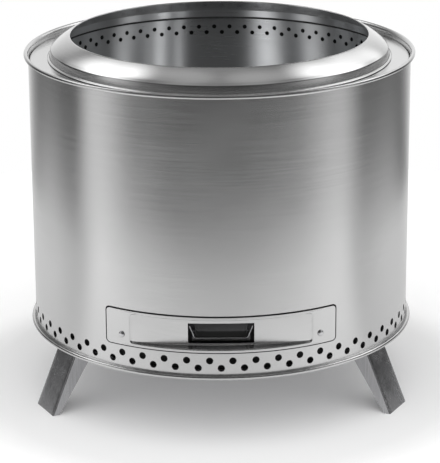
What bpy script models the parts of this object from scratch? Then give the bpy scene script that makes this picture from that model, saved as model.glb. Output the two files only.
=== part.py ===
"""Double-walled stainless fire pit with a lift-off flame ring, an ash drawer and three folding legs.

Metres, +Z up. The origin is on the floor, on the axis of the barrel. The drawer faces -Y.
Azimuths are in degrees from the front, positive towards +X. Profiles are (radius, height) pairs.
"""
import math

import bmesh
import bpy
from mathutils import Matrix, Vector

# Barrel: the outer shell is one rolled sheet with a curled edge at its top and its bottom
SHEET = 0.0010
GAP = 0.0003
SHELL_R = 0.2900
SHELL_STEPS = 108
BEAD_Z = 0.1100
RIM_Z = BEAD_Z + 0.4194
CURL_R = 0.00305
CURL_CENTRE_R = 0.2938
CURL_CREASE = 0.0024
CURL_ANGLES = (120, 60, 0, -60, -120)

# Air inlets low in the shell: two staggered rows, the lower one with a hole on the centre line
INLET_COUNT = 54
INLET_R = 0.0050
INLET_LOW_Z = BEAD_Z + 0.0139
INLET_HIGH_Z = BEAD_Z + 0.0252
INLET_SIDES = 6

# Inner wall of the fire chamber with its two staggered rows of air outlets near the top
WALL_R = 0.2720
WALL_STEPS = 136
WALL_BOTTOM_Z = BEAD_Z + 0.0045
WALL_TOP_Z = BEAD_Z + 0.4105
WALL_FLANGE = 0.0070
OUTLET_COUNT = 68
OUTLET_R = 0.0034
OUTLET_LOW_Z = BEAD_Z + 0.3851
OUTLET_HIGH_Z = BEAD_Z + 0.3945
OUTLET_PHASE = 179.1
OUTLET_SIDES = 6

# Deck: the flat ring that closes the gap between the walls, with a collar that centres the flame ring
DECK_Z = BEAD_Z + 0.4118
DECK_INNER_R = 0.2570
DECK_COLLAR = 0.0030
DECK_SKIRT = 0.0110
DECK_STEPS = 48

# Base pan, a disc with a turned-up edge spot-welded inside the shell
PAN_Z = BEAD_Z + 0.0032
PAN_R = SHELL_R - SHEET - 2 * GAP
PAN_EDGE = 0.0050
PAN_STEPS = 54

# Flame ring: a cone that rises to the mouth, a rounded shoulder, a short skirt and a rolled lip
MOUTH_R = 0.2250
MOUTH_Z = BEAD_Z + 0.4472
MOUTH_HEM = 0.0020
CONE_FOOT_R = 0.2512
CONE_FOOT_Z = BEAD_Z + 0.4298
SHOULDER_R = 0.2568
SHOULDER_Z = BEAD_Z + 0.4215
LIP_CENTRE_R = 0.2604
LIP_CENTRE_Z = DECK_Z + 0.0018
LIP_R = 0.0015
RING_SHEET = 0.0012
RING_STEPS = 60

# Floor of the fire chamber and the loose grate that lies in its seat
FLOOR_Z = BEAD_Z + 0.0940
FLOOR_R = WALL_R - SHEET - 2 * GAP
FLOOR_EDGE = 0.0045
SEAT_R = 0.1860
SEAT_DROP = 0.0045
SEAT_HOLE_R = 0.1700
FLOOR_STEPS = 48
GRATE_R = 0.1810
GRATE_THICK = 0.0025
GRATE_STEPS = 48
SLOT_WIDTH = 0.0070
SLOT_RINGS = ((0.026, 0.058, 8, 0.0), (0.070, 0.110, 16, 11.25), (0.122, 0.162, 24, 0.0))

# Drawer opening and drawer front, whose outer surface lies flush with the shell
DRAWER_HALF = 0.1676
DRAWER_LOW_Z = BEAD_Z + 0.0374
DRAWER_HIGH_Z = BEAD_Z + 0.0910
DRAWER_CORNER_R = 0.0080
DRAWER_GAP = 0.0014
FRONT_SHEET = 0.0012
FRONT_COLUMNS = 12
RECESS_HALF = 0.1330
RECESS_SLOPE = 0.0016
RECESS_DRAFT = 0.0003
RECESS_LOW_Z = BEAD_Z + 0.0422
RECESS_HIGH_Z = BEAD_Z + 0.0865
RECESS_MID_Y = -0.2705
RECESS_END_Y = -0.2537
PLENUM_WINDOW_HALF = 0.1500
PLENUM_LOW_Z = BEAD_Z + 0.0330
PLENUM_HIGH_Z = BEAD_Z + 0.0925

# Pull: a pressed scoop behind a rectangular window in the drawer front
WINDOW_HALF = 0.0483
WINDOW_LOW_Z = BEAD_Z + 0.0452
WINDOW_HIGH_Z = BEAD_Z + 0.0758
SCOOP_RIM_Y = -0.2698
SCOOP_SHEET = 0.0010
SCOOP_CORNER_R = 0.0055
SCOOP_TOP_Z = BEAD_Z + 0.0795
SCOOP_FLANGE_Y = -0.2662
SCOOP_FLANGE_Z = BEAD_Z + 0.0840
# Sections of the scoop: depth behind the rim, floor height, half width at floor and at top, top height
SCOOP_SECTIONS = (
    (0.0000, BEAD_Z + 0.0532, 0.0405, 0.0460, BEAD_Z + 0.0723),
    (0.0034, BEAD_Z + 0.0512, 0.0400, 0.0452, BEAD_Z + 0.0735),
    (0.0060, BEAD_Z + 0.0505, 0.0395, 0.0444, SCOOP_TOP_Z),
    (0.0105, BEAD_Z + 0.0522, 0.0385, 0.0432, SCOOP_TOP_Z),
    (0.0145, BEAD_Z + 0.0580, 0.0375, 0.0420, SCOOP_TOP_Z),
)

# Ash tray, its two tabs behind the drawer front and the rivets through them
TRAY_HALF = 0.1410
TRAY_FRONT_Y = -0.2460
TRAY_REAR_Y = 0.1512
TRAY_LOW_Z = BEAD_Z + 0.0385
TRAY_HIGH_Z = BEAD_Z + 0.0840
TRAY_CORNER_R = 0.0120
TRAY_CORNER_STEPS = 3
TAB_LOW_Z = BEAD_Z + 0.0440
TAB_HIGH_Z = BEAD_Z + 0.0620
TAB_NEAR = -0.0080
TAB_FAR = 0.0150
TAB_SHEET = 0.0014
TAB_OUTER_R = 0.2881
LUG_OUTER_X = 0.1393
LUG_FRONT_Y = -0.2518
LUG_REAR_Y = -0.2380
RIVET_AZIMUTH = 30.1
RIVET_Z = BEAD_Z + 0.0530
RIVET_SHANK_R = 0.0022
RIVET_HEAD_R = 0.0046
RIVET_HEAD_H = 0.0022
RIVET_TAIL_R = 0.0036
RIVET_TAIL_H = 0.0015
RIVET_SIDES = 12

# Rails that carry the tray, and the stop that sets the closed drawer flush
RAIL_SHEET = 0.0012
RAIL_WEB_X = 0.1435
RAIL_FOOT_X = 0.1560
RAIL_SHELF_X = 0.1260
RAIL_TOP_Z = BEAD_Z + 0.0520
RAIL_FRONT_Y = -0.2150
RAIL_REAR_Y = 0.1600
STOP_HALF = 0.0600
STOP_FOOT = 0.0240
STOP_TOP_Z = BEAD_Z + 0.0580

# Legs: pressed channels that hinge under the base pan and splay outward when open
LEG_AZIMUTHS = {"left": -62.0, "right": 62.0, "rear": 180.0}
LEG_SPLAY = math.radians(23.25)
LEG_FOOT_R = 0.3060
LEG_WIDTH = 0.0605
LEG_SHEET = 0.0020
LEG_FOOT_DEPTH = 0.0105
LEG_TAPER = 0.1560
LEG_TOP_Z = 0.1105
LEG_SHOULDER_DEPTH = 0.0080
LEG_EAR_UP = 0.0090
LEG_EAR_DEPTH = 0.0240
LEG_HEEL_DOWN = 0.0020
PIVOT_DEPTH = 0.0160
PIVOT_Z = BEAD_Z - 0.0203
PIN_R = 0.0040
PIN_HEAD_R = 0.0065
PIN_HEAD_H = 0.0020
PIN_SIDES = 12

# Brackets that hold the hinge pins, riveted to the base pan
BRACKET_SHEET = 0.0020
BRACKET_HALF = 0.0274
BRACKET_INNER_R = 0.2330
BRACKET_OUTER_R = 0.2680
BRACKET_CHEEK_INNER_R = 0.2390
BRACKET_CHEEK_OUTER_R = 0.2555
BRACKET_EYE_R = 0.0110
BRACKET_TOP_Z = PAN_Z - GAP
BRACKET_RIVET_R = 0.2430
BRACKET_RIVET_OFFSET = 0.0140
BRACKET_RIVET_SHANK_R = 0.0022
BRACKET_RIVET_HEAD_R = 0.0045
BRACKET_RIVET_HEAD_H = 0.0015
BRACKET_RIVET_SIDES = 8
BRACKET_EDGE_THIN = 0.0002

BRUSHED = ((0.60, 0.60, 0.61), 0.34)
SATIN = ((0.66, 0.66, 0.67), 0.28)
CHAMBER = ((0.42, 0.42, 0.43), 0.30)
HIDDEN = ((0.50, 0.50, 0.51), 0.45)

CUTTER_REACH = 0.0200
MERGE = 0.00001


def clear_scene():
    for old in list(bpy.data.objects):
        bpy.data.objects.remove(old, do_unlink=True)


def new_collection(name):
    collection = bpy.data.collections.new(name)
    bpy.context.scene.collection.children.link(collection)
    return collection


def steel(name, finish):
    """One metallic material for one piece."""
    colour, roughness = finish
    material = bpy.data.materials.new(name)
    material.use_nodes = True
    shader = material.node_tree.nodes["Principled BSDF"]
    shader.inputs["Base Color"].default_value = (*colour, 1.0)
    shader.inputs["Metallic"].default_value = 1.0
    shader.inputs["Roughness"].default_value = roughness
    return material


def add_part(name, mesh, finish, parent=None):
    part = bpy.data.objects.new(name, mesh)
    parts.objects.link(part)
    mesh.materials.clear()
    mesh.materials.append(steel(name + "_steel", finish))
    if parent:
        part.parent = parent
        part.matrix_parent_inverse = parent.matrix_world.inverted()
    return part


def add_cutter(name, mesh):
    cutter = bpy.data.objects.new(name, mesh)
    cutters.objects.link(cutter)
    cutter.hide_render = True
    cutter.display_type = "WIRE"
    return cutter


def add_pivot(name, location):
    """An empty on a joint's axis, which carries the pieces that move with it."""
    pivot = bpy.data.objects.new(name, None)
    parts.objects.link(pivot)
    pivot.location = location
    bpy.context.view_layer.update()
    return pivot


def boolean(part, other, operation="DIFFERENCE"):
    modifier = part.modifiers.new(operation.lower() + "_" + other.name, "BOOLEAN")
    modifier.operation = operation
    modifier.object = other


def solidify(part, thickness):
    """Sheet thickness behind the modelled surface."""
    modifier = part.modifiers.new("sheet", "SOLIDIFY")
    modifier.thickness = thickness
    modifier.offset = -1.0
    modifier.use_even_offset = True


def frozen(template):
    """The mesh that a finished template evaluates to; the template itself goes."""
    bpy.context.view_layer.update()
    depsgraph = bpy.context.evaluated_depsgraph_get()
    mesh = bpy.data.meshes.new_from_object(template.evaluated_get(depsgraph))
    bpy.data.objects.remove(template)
    return mesh


def bm_to_mesh(bm, name):
    bmesh.ops.recalc_face_normals(bm, faces=bm.faces)
    mesh = bpy.data.meshes.new(name)
    bm.to_mesh(mesh)
    bm.free()
    return mesh


def turned(name, outline, steps, finish, closed=True, start=0.0, parent=None):
    """A turned piece. Its outline runs down the outer side and back up the inner one."""
    mesh = bpy.data.meshes.new(name)
    count = len(outline)
    edges = [(i, (i + 1) % count) for i in range(count if closed else count - 1)]
    mesh.from_pydata([(r, 0.0, z) for r, z in outline], edges, [])
    part = add_part(name, mesh, finish, parent)
    part.rotation_euler.z = math.radians(start)
    modifier = part.modifiers.new("turn", "SCREW")
    modifier.steps = steps
    modifier.render_steps = steps
    modifier.use_merge_vertices = True
    modifier.merge_threshold = MERGE
    modifier.use_smooth_shade = True
    return part


def arc(centre, radius, angles):
    x, y = centre
    return [(x + radius * math.cos(math.radians(a)), y + radius * math.sin(math.radians(a))) for a in angles]


def plate_mesh(name, outline, thickness):
    """A flat outline in the XY plane, its thickness centred on Z."""
    curve = bpy.data.curves.new(name, "CURVE")
    curve.dimensions = "2D"
    curve.fill_mode = "BOTH"
    curve.extrude = thickness / 2
    spline = curve.splines.new("POLY")
    spline.points.add(len(outline) - 1)
    for point, (x, y) in zip(spline.points, outline):
        point.co = (x, y, 0.0, 1.0)
    spline.use_cyclic_u = True
    template = bpy.data.objects.new(name, curve)
    cutters.objects.link(template)
    bm = bmesh.new()
    bm.from_mesh(frozen(template))
    bmesh.ops.remove_doubles(bm, verts=bm.verts, dist=MERGE)
    return bm_to_mesh(bm, name)


def radial(azimuth):
    angle = math.radians(azimuth)
    return Vector((math.sin(angle), -math.cos(angle), 0.0))


def upright_frame(azimuth, origin):
    """Local X points outward at the azimuth, local Y up and local Z along the tangent."""
    out = radial(azimuth)
    up = Vector((0.0, 0.0, 1.0))
    frame = Matrix((out, up, out.cross(up))).transposed().to_4x4()
    frame.translation = origin
    return frame


def pointing(direction, origin):
    """A placement whose local Z points along the direction."""
    placement = Vector(direction).to_track_quat("Z", "Y").to_matrix().to_4x4()
    placement.translation = origin
    return placement


def at_azimuth(azimuth, radius, height):
    place = radial(azimuth) * radius
    place.z = height
    return place


def bars_mesh(name, placements, radius, length, sides):
    """Straight round bars, each centred on its placement and along its local Z."""
    bm = bmesh.new()
    for placement in placements:
        bmesh.ops.create_cone(
            bm, cap_ends=True, segments=sides, radius1=radius, radius2=radius, depth=length, matrix=placement
        )
    return bm_to_mesh(bm, name)


def box_mesh(name, low, high):
    bm = bmesh.new()
    bmesh.ops.create_cube(bm, size=1.0)
    bmesh.ops.scale(bm, vec=Vector(high) - Vector(low), verts=bm.verts)
    bmesh.ops.translate(bm, vec=(Vector(high) + Vector(low)) / 2, verts=bm.verts)
    return bm_to_mesh(bm, name)


def box_cutter(name, low, high):
    return add_cutter(name, box_mesh(name, low, high))


def hole_ring(name, radius, count, rows, hole_r, sides):
    """Radial cutters for rows of round holes; each row is (height, azimuth of its first hole)."""
    placements = []
    for height, first in rows:
        for i in range(count):
            azimuth = first + 360.0 * i / count
            placements.append(pointing(radial(azimuth), at_azimuth(azimuth, radius, height)))
    return add_cutter(name, bars_mesh(name, placements, hole_r, CUTTER_REACH, sides))


def rounded_rectangle(half, low, high, radius):
    """A rectangle in X and height with round corners."""
    corners = (
        (half - radius, low + radius, -90),
        (half - radius, high - radius, 0),
        (radius - half, high - radius, 90),
        (radius - half, low + radius, 180),
    )
    points = []
    for x, z, first in corners:
        points += arc((x, z), radius, [first + turn for turn in (0, 30, 60, 90)])
    return points


def front_block(name, outline):
    """An outline in X and height, pushed along Y through the front of the barrel."""
    cutter = add_cutter(name, plate_mesh(name, outline, SHELL_R))
    cutter.matrix_world = upright_frame(90.0, (0.0, -SHELL_R, 0.0))
    return cutter


def make_outer_shell():
    inner = SHELL_R - SHEET
    outline = [(inner, RIM_Z + SHEET)]
    outline += arc((CURL_CENTRE_R, RIM_Z), CURL_R, CURL_ANGLES)
    outline += [(SHELL_R, RIM_Z - CURL_CREASE), (SHELL_R, BEAD_Z + CURL_CREASE)]
    outline += arc((CURL_CENTRE_R, BEAD_Z), CURL_R, CURL_ANGLES)
    outline += [(inner, BEAD_Z - SHEET)]
    start = -90.0 + 180.0 / SHELL_STEPS
    shell = turned("outer_shell", outline, SHELL_STEPS, BRUSHED, start=start)
    rows = ((INLET_LOW_Z, 0.0), (INLET_HIGH_Z, 180.0 / INLET_COUNT))
    boolean(shell, hole_ring("inlet_cutter", SHELL_R, INLET_COUNT, rows, INLET_R, INLET_SIDES))
    window = rounded_rectangle(
        DRAWER_HALF + DRAWER_GAP,
        DRAWER_LOW_Z - DRAWER_GAP,
        DRAWER_HIGH_Z + DRAWER_GAP,
        DRAWER_CORNER_R + DRAWER_GAP,
    )
    boolean(shell, front_block("drawer_window_cutter", window))


def make_inner_wall():
    inner = WALL_R - SHEET
    flange_r = WALL_R + WALL_FLANGE
    outline = [
        (inner, WALL_TOP_Z),
        (flange_r, WALL_TOP_Z),
        (flange_r, WALL_TOP_Z - SHEET),
        (WALL_R, WALL_TOP_Z - SHEET),
        (WALL_R, WALL_BOTTOM_Z),
        (inner, WALL_BOTTOM_Z),
    ]
    start = -90.0 + OUTLET_PHASE + 180.0 / WALL_STEPS
    wall = turned("inner_wall", outline, WALL_STEPS, CHAMBER, start=start)
    rows = ((OUTLET_LOW_Z, OUTLET_PHASE), (OUTLET_HIGH_Z, OUTLET_PHASE + 180.0 / OUTLET_COUNT))
    boolean(wall, hole_ring("outlet_cutter", WALL_R, OUTLET_COUNT, rows, OUTLET_R, OUTLET_SIDES))
    low = (-PLENUM_WINDOW_HALF, -SHELL_R, PLENUM_LOW_Z)
    high = (PLENUM_WINDOW_HALF, -SHELL_R / 2, PLENUM_HIGH_Z)
    boolean(wall, box_cutter("plenum_window_cutter", low, high))


def make_top_deck():
    outer = SHELL_R - SHEET - 2 * GAP
    outline = [
        (DECK_INNER_R, DECK_Z + DECK_COLLAR),
        (DECK_INNER_R + SHEET, DECK_Z + DECK_COLLAR),
        (DECK_INNER_R + SHEET, DECK_Z),
        (outer - SHEET, DECK_Z),
        (outer, DECK_Z - SHEET),
        (outer, DECK_Z - DECK_SKIRT),
        (outer - SHEET, DECK_Z - DECK_SKIRT),
        (outer - SHEET, DECK_Z - SHEET),
        (DECK_INNER_R, DECK_Z - SHEET),
    ]
    turned("top_deck", outline, DECK_STEPS, SATIN)


def make_base_pan():
    outline = [
        (0.0, PAN_Z + SHEET),
        (PAN_R - SHEET, PAN_Z + SHEET),
        (PAN_R - SHEET, PAN_Z + PAN_EDGE),
        (PAN_R, PAN_Z + PAN_EDGE),
        (PAN_R, PAN_Z),
        (0.0, PAN_Z),
    ]
    pan = turned("base_pan", outline, PAN_STEPS, HIDDEN, closed=False)
    placements = [pointing((0, 0, 1), place) for place in bracket_rivet_places().values()]
    holes = bars_mesh(
        "pan_hole_cutter", placements, BRACKET_RIVET_SHANK_R + GAP, CUTTER_REACH, BRACKET_RIVET_SIDES
    )
    boolean(pan, add_cutter("pan_hole_cutter", holes))


def make_flame_ring():
    """The cone's underside is set back square to its slope by the sheet."""
    lift = add_pivot("flame_ring_lift", (0.0, 0.0, DECK_Z))
    cone = Vector((CONE_FOOT_R - MOUTH_R, CONE_FOOT_Z - MOUTH_Z)).normalized()
    back = Vector((cone.y, -cone.x)) * RING_SHEET
    bend_r = (CONE_FOOT_R + SHOULDER_R) / 2
    bend_z = (CONE_FOOT_Z + SHOULDER_Z) / 2
    outline = [
        (MOUTH_R - MOUTH_HEM / 4, MOUTH_Z - MOUTH_HEM / 2),
        (MOUTH_R + MOUTH_HEM / 2, MOUTH_Z),
        (CONE_FOOT_R, CONE_FOOT_Z),
        (bend_r + RING_SHEET, bend_z + RING_SHEET),
        (SHOULDER_R, SHOULDER_Z),
    ]
    outline += arc((LIP_CENTRE_R, LIP_CENTRE_Z), LIP_R, (115, 30, -30, -90, -150, -180))
    outline += [
        (SHOULDER_R - RING_SHEET, SHOULDER_Z - RING_SHEET / 2),
        (bend_r, bend_z),
        (CONE_FOOT_R + back.x, CONE_FOOT_Z + back.y),
        (MOUTH_R + back.x + MOUTH_HEM, MOUTH_Z + back.y - MOUTH_HEM / 2),
    ]
    turned("flame_ring", outline, RING_STEPS, SATIN, parent=lift)


def make_chamber_floor():
    """A disc with its outer edge turned down and a sunk seat for the grate round its hole."""
    seat_z = FLOOR_Z - SEAT_DROP
    seat_inner = SEAT_R - SHEET
    outline = [
        (FLOOR_R, FLOOR_Z + SHEET),
        (FLOOR_R, FLOOR_Z - FLOOR_EDGE),
        (FLOOR_R - SHEET, FLOOR_Z - FLOOR_EDGE),
        (FLOOR_R - SHEET, FLOOR_Z),
        (SEAT_R, FLOOR_Z),
        (SEAT_R, seat_z),
        (SEAT_HOLE_R, seat_z),
        (SEAT_HOLE_R, seat_z + SHEET),
        (seat_inner, seat_z + SHEET),
        (seat_inner, FLOOR_Z + SHEET),
    ]
    turned("chamber_floor", outline, FLOOR_STEPS, CHAMBER)


def make_fire_grate():
    """A loose disc with rings of radial slots, which lifts out through the mouth."""
    middle_z = FLOOR_Z - SEAT_DROP + SHEET + GAP + GRATE_THICK / 2
    lift = add_pivot("fire_grate_lift", (0.0, 0.0, middle_z))
    centre = pointing((0, 0, 1), (0.0, 0.0, middle_z))
    disc = bars_mesh("fire_grate", [centre], GRATE_R, GRATE_THICK, GRATE_STEPS)
    grate = add_part("fire_grate", disc, CHAMBER, lift)
    bm = bmesh.new()
    for inner, outer, count, first in SLOT_RINGS:
        for i in range(count):
            azimuth = first + 360.0 * i / count
            slot = bmesh.ops.create_cube(bm, size=1.0)["verts"]
            bmesh.ops.scale(bm, vec=(outer - inner, CUTTER_REACH, SLOT_WIDTH), verts=slot)
            frame = upright_frame(azimuth, at_azimuth(azimuth, (inner + outer) / 2, middle_z))
            bmesh.ops.transform(bm, matrix=frame, verts=slot)
    boolean(grate, add_cutter("slot_cutter", bm_to_mesh(bm, "slot_cutter")))


def drawer_rivet_cutter():
    placements = []
    for side in (-1, 1):
        azimuth = RIVET_AZIMUTH * side
        placements.append(pointing(radial(azimuth), at_azimuth(azimuth, TAB_OUTER_R, RIVET_Z)))
    return add_cutter(
        "drawer_rivet_cutter",
        bars_mesh("drawer_rivet_cutter", placements, RIVET_SHANK_R + GAP, CUTTER_REACH, RIVET_SIDES),
    )


def front_columns():
    """X places of the drawer front's columns: the shell's own facets, and both edges of the recess."""
    step = 2 * math.pi / SHELL_STEPS
    half = [SHELL_R * math.sin(step * (i + 0.5)) for i in range(FRONT_COLUMNS)]
    half = sorted(half + [RECESS_HALF, RECESS_HALF - RECESS_SLOPE])
    return [-x for x in reversed(half)] + half


def make_drawer_front(parent, rivet_cutter):
    """A pressed sheet: a frame flush with the shell round a recessed, flatter panel."""
    sagitta = RECESS_END_Y - RECESS_MID_Y
    panel_r = (RECESS_HALF**2 + sagitta**2) / (2 * sagitta)
    columns = front_columns()
    rows = (
        (DRAWER_LOW_Z - DRAWER_CORNER_R, False),
        (RECESS_LOW_Z, False),
        (RECESS_LOW_Z + RECESS_DRAFT, True),
        (RECESS_HIGH_Z - RECESS_DRAFT, True),
        (RECESS_HIGH_Z, False),
        (DRAWER_HIGH_Z + DRAWER_CORNER_R, False),
    )
    bm = bmesh.new()
    grid = []
    for z, pressed in rows:
        line = []
        for x in columns:
            y = -math.sqrt(SHELL_R**2 - x**2)
            if pressed and abs(x) < RECESS_HALF - RECESS_SLOPE / 2:
                y = RECESS_MID_Y + panel_r - math.sqrt(panel_r**2 - x**2)
            line.append(bm.verts.new((x, y, z)))
        grid.append(line)
    for lower, upper in zip(grid, grid[1:]):
        for i in range(len(columns) - 1):
            bm.faces.new((lower[i], lower[i + 1], upper[i + 1], upper[i]))
    mesh = bpy.data.meshes.new("drawer_front")
    bm.to_mesh(mesh)
    bm.free()
    front = add_part("drawer_front", mesh, BRUSHED, parent)
    solidify(front, FRONT_SHEET)
    outline = rounded_rectangle(DRAWER_HALF, DRAWER_LOW_Z, DRAWER_HIGH_Z, DRAWER_CORNER_R)
    boolean(front, front_block("front_outline", outline), "INTERSECT")
    low = (-WINDOW_HALF, -SHELL_R, WINDOW_LOW_Z)
    high = (WINDOW_HALF, -SHELL_R / 2, WINDOW_HIGH_Z)
    boolean(front, box_cutter("pull_window_cutter", low, high))
    boolean(front, rivet_cutter)


def scoop_section(depth, floor_z, half_floor, half_top, top_z):
    """One open U of the scoop, from its top left, along the floor, to its top right."""
    corner = (SCOOP_CORNER_R - half_floor, floor_z + SCOOP_CORNER_R)
    left = [(-half_top, top_z)] + arc(corner, SCOOP_CORNER_R, (180, 210, 240, 270))
    right = [(-x, z) for x, z in reversed(left)]
    return [(x, SCOOP_RIM_Y + depth, z) for x, z in left + right]


def make_pull_scoop(parent):
    """A dish open to the front and top, with a flange up behind the panel. Its faces look inward."""
    bm = bmesh.new()
    sections = [[bm.verts.new(point) for point in scoop_section(*row)] for row in SCOOP_SECTIONS]
    for near, far in zip(sections, sections[1:]):
        for i in range(len(near) - 1):
            bm.faces.new((near[i], near[i + 1], far[i + 1], far[i]))
    back = sections[-1]
    bm.faces.new(back)
    ends = (back[0], back[-1])
    web = [bm.verts.new((end.co.x, SCOOP_FLANGE_Y, SCOOP_TOP_Z)) for end in ends]
    flange = [bm.verts.new((end.co.x, SCOOP_FLANGE_Y, SCOOP_FLANGE_Z)) for end in ends]
    bm.faces.new((ends[0], ends[1], web[1], web[0]))
    bm.faces.new((web[0], web[1], flange[1], flange[0]))
    mesh = bpy.data.meshes.new("pull_scoop")
    bm.to_mesh(mesh)
    bm.free()
    scoop = add_part("pull_scoop", mesh, SATIN, parent)
    solidify(scoop, SCOOP_SHEET)


def make_ash_tray(parent, rivet_cutter):
    """An open pan with round corners, and at each front corner a lug with a riveting tab."""
    low = (-TRAY_HALF, TRAY_FRONT_Y, TRAY_LOW_Z)
    high = (TRAY_HALF, TRAY_REAR_Y, TRAY_HIGH_Z)
    mesh = box_mesh("ash_tray", low, high)
    bm = bmesh.new()
    bm.from_mesh(mesh)
    lid = [face for face in bm.faces if face.normal.z > 0.5]
    bmesh.ops.delete(bm, geom=lid, context="FACES_ONLY")
    uprights = [e for e in bm.edges if abs(e.verts[0].co.z - e.verts[1].co.z) > TRAY_CORNER_R]
    bmesh.ops.bevel(
        bm, geom=uprights, offset=TRAY_CORNER_R, segments=TRAY_CORNER_STEPS, affect="EDGES", profile=0.5
    )
    bm.to_mesh(mesh)
    bm.free()
    tray = add_part("ash_tray", mesh, HIDDEN, parent)
    solidify(tray, SHEET)
    for side, word in ((-1, "left"), (1, "right")):
        lug_x = sorted((side * (LUG_OUTER_X - TAB_SHEET), side * LUG_OUTER_X))
        lug_low = (lug_x[0], LUG_FRONT_Y, TAB_LOW_Z)
        lug_high = (lug_x[1], LUG_REAR_Y, TAB_HIGH_Z)
        boolean(tray, box_cutter("lug_" + word, lug_low, lug_high), "UNION")
        reach = sorted((-side * TAB_NEAR, -side * TAB_FAR))
        tab_low = (-TAB_SHEET, TAB_LOW_Z, reach[0])
        tab_high = (0.0, TAB_HIGH_Z, reach[1])
        tab = box_cutter("tab_" + word, tab_low, tab_high)
        azimuth = RIVET_AZIMUTH * side
        tab.matrix_world = upright_frame(azimuth, radial(azimuth) * TAB_OUTER_R)
        boolean(tray, tab, "UNION")
    boolean(tray, rivet_cutter)


def make_drawer_rivets(parent):
    """Each rivet has a domed head outside, a shank, and a flat tail behind the tab."""
    tail = TAB_OUTER_R - TAB_SHEET - GAP - SHELL_R
    outline = (
        (0.0, GAP + RIVET_HEAD_H),
        (RIVET_HEAD_R / 2, GAP + RIVET_HEAD_H * 0.85),
        (RIVET_HEAD_R * 0.87, GAP + RIVET_HEAD_H * 0.45),
        (RIVET_HEAD_R, GAP),
        (RIVET_SHANK_R, GAP),
        (RIVET_SHANK_R, tail),
        (RIVET_TAIL_R, tail),
        (RIVET_TAIL_R, tail - RIVET_TAIL_H),
        (0.0, tail - RIVET_TAIL_H),
    )
    for side, word in ((-1, "left"), (1, "right")):
        rivet = turned("drawer_rivet_" + word, outline, RIVET_SIDES, SATIN, closed=False, parent=parent)
        azimuth = RIVET_AZIMUTH * side
        rivet.matrix_world = pointing(radial(azimuth), at_azimuth(azimuth, SHELL_R, RIVET_Z))


def make_drawer():
    slide = add_pivot("drawer_slide", (0.0, -SHELL_R, (DRAWER_LOW_Z + DRAWER_HIGH_Z) / 2))
    rivet_cutter = drawer_rivet_cutter()
    make_drawer_front(slide, rivet_cutter)
    make_pull_scoop(slide)
    make_ash_tray(slide, rivet_cutter)
    make_drawer_rivets(slide)


def make_rails_and_stop():
    """Z-shaped rails that carry the tray, and the angle that the closed tray meets."""
    foot_z = PAN_Z + SHEET + GAP
    shelf_z = TRAY_LOW_Z - GAP
    rail = (
        (RAIL_FOOT_X, foot_z),
        (RAIL_FOOT_X, foot_z + RAIL_SHEET),
        (RAIL_WEB_X + RAIL_SHEET, foot_z + RAIL_SHEET),
        (RAIL_WEB_X + RAIL_SHEET, RAIL_TOP_Z),
        (RAIL_WEB_X, RAIL_TOP_Z),
        (RAIL_WEB_X, shelf_z),
        (RAIL_SHELF_X, shelf_z),
        (RAIL_SHELF_X, shelf_z - RAIL_SHEET),
        (RAIL_WEB_X, shelf_z - RAIL_SHEET),
        (RAIL_WEB_X, foot_z),
    )
    length = RAIL_REAR_Y - RAIL_FRONT_Y
    middle = (0.0, (RAIL_REAR_Y + RAIL_FRONT_Y) / 2, 0.0)
    for side, word in ((-1, "left"), (1, "right")):
        name = "drawer_rail_" + word
        outline = [(side * x, z) for x, z in rail]
        part = add_part(name, plate_mesh(name, outline, length), HIDDEN)
        part.matrix_world = upright_frame(90.0, middle)
    face_y = TRAY_REAR_Y + GAP
    angle = (
        (face_y, foot_z),
        (face_y, STOP_TOP_Z),
        (face_y + RAIL_SHEET, STOP_TOP_Z),
        (face_y + RAIL_SHEET, foot_z + RAIL_SHEET),
        (face_y + STOP_FOOT, foot_z + RAIL_SHEET),
        (face_y + STOP_FOOT, foot_z),
    )
    stop = add_part("drawer_stop", plate_mesh("drawer_stop", angle, 2 * STOP_HALF), HIDDEN)
    stop.matrix_world = upright_frame(180.0, (0.0, 0.0, 0.0))


def web_radius(height):
    """Radius of the leg's outer face at a height above the floor."""
    return LEG_FOOT_R - height * math.tan(LEG_SPLAY)


def pivot_radius():
    level = PIVOT_Z + PIVOT_DEPTH * math.sin(LEG_SPLAY)
    return web_radius(level) - PIVOT_DEPTH * math.cos(LEG_SPLAY)


def on_leg(up, depth):
    """A point (radius, height) relative to the pivot, from its distance up the leg and behind the web."""
    sine = math.sin(LEG_SPLAY)
    cosine = math.cos(LEG_SPLAY)
    behind = depth - PIVOT_DEPTH
    return (-up * sine - behind * cosine, up * cosine - behind * sine)


def leg_outlines():
    """The side view of a leg, and of the cavity that leaves its web, flanges and sole."""
    cosine = math.cos(LEG_SPLAY)
    level = PIVOT_Z + PIVOT_DEPTH * math.sin(LEG_SPLAY)
    top_up = (LEG_TOP_Z - level) / cosine
    foot_up = -level / cosine
    heel_depth = LEG_FOOT_DEPTH + (-LEG_HEEL_DOWN - foot_up) * LEG_TAPER
    pivot_r = pivot_radius()
    side = [
        (LEG_FOOT_R - pivot_r, -PIVOT_Z),
        on_leg(top_up, 0.0),
        on_leg(top_up, LEG_SHOULDER_DEPTH),
        on_leg(LEG_EAR_UP, LEG_EAR_DEPTH),
        on_leg(-LEG_HEEL_DOWN, heel_depth),
        (LEG_FOOT_R - LEG_FOOT_DEPTH - pivot_r, -PIVOT_Z),
    ]
    sole_z = LEG_SHEET - PIVOT_Z
    web_foot_r = web_radius(LEG_SHEET) - LEG_SHEET / cosine - pivot_r
    cavity = [
        (web_foot_r, sole_z),
        on_leg(top_up + CUTTER_REACH, LEG_SHEET),
        on_leg(top_up + CUTTER_REACH, LEG_WIDTH),
        (web_foot_r - 2 * LEG_WIDTH, sole_z),
    ]
    return side, cavity


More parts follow.
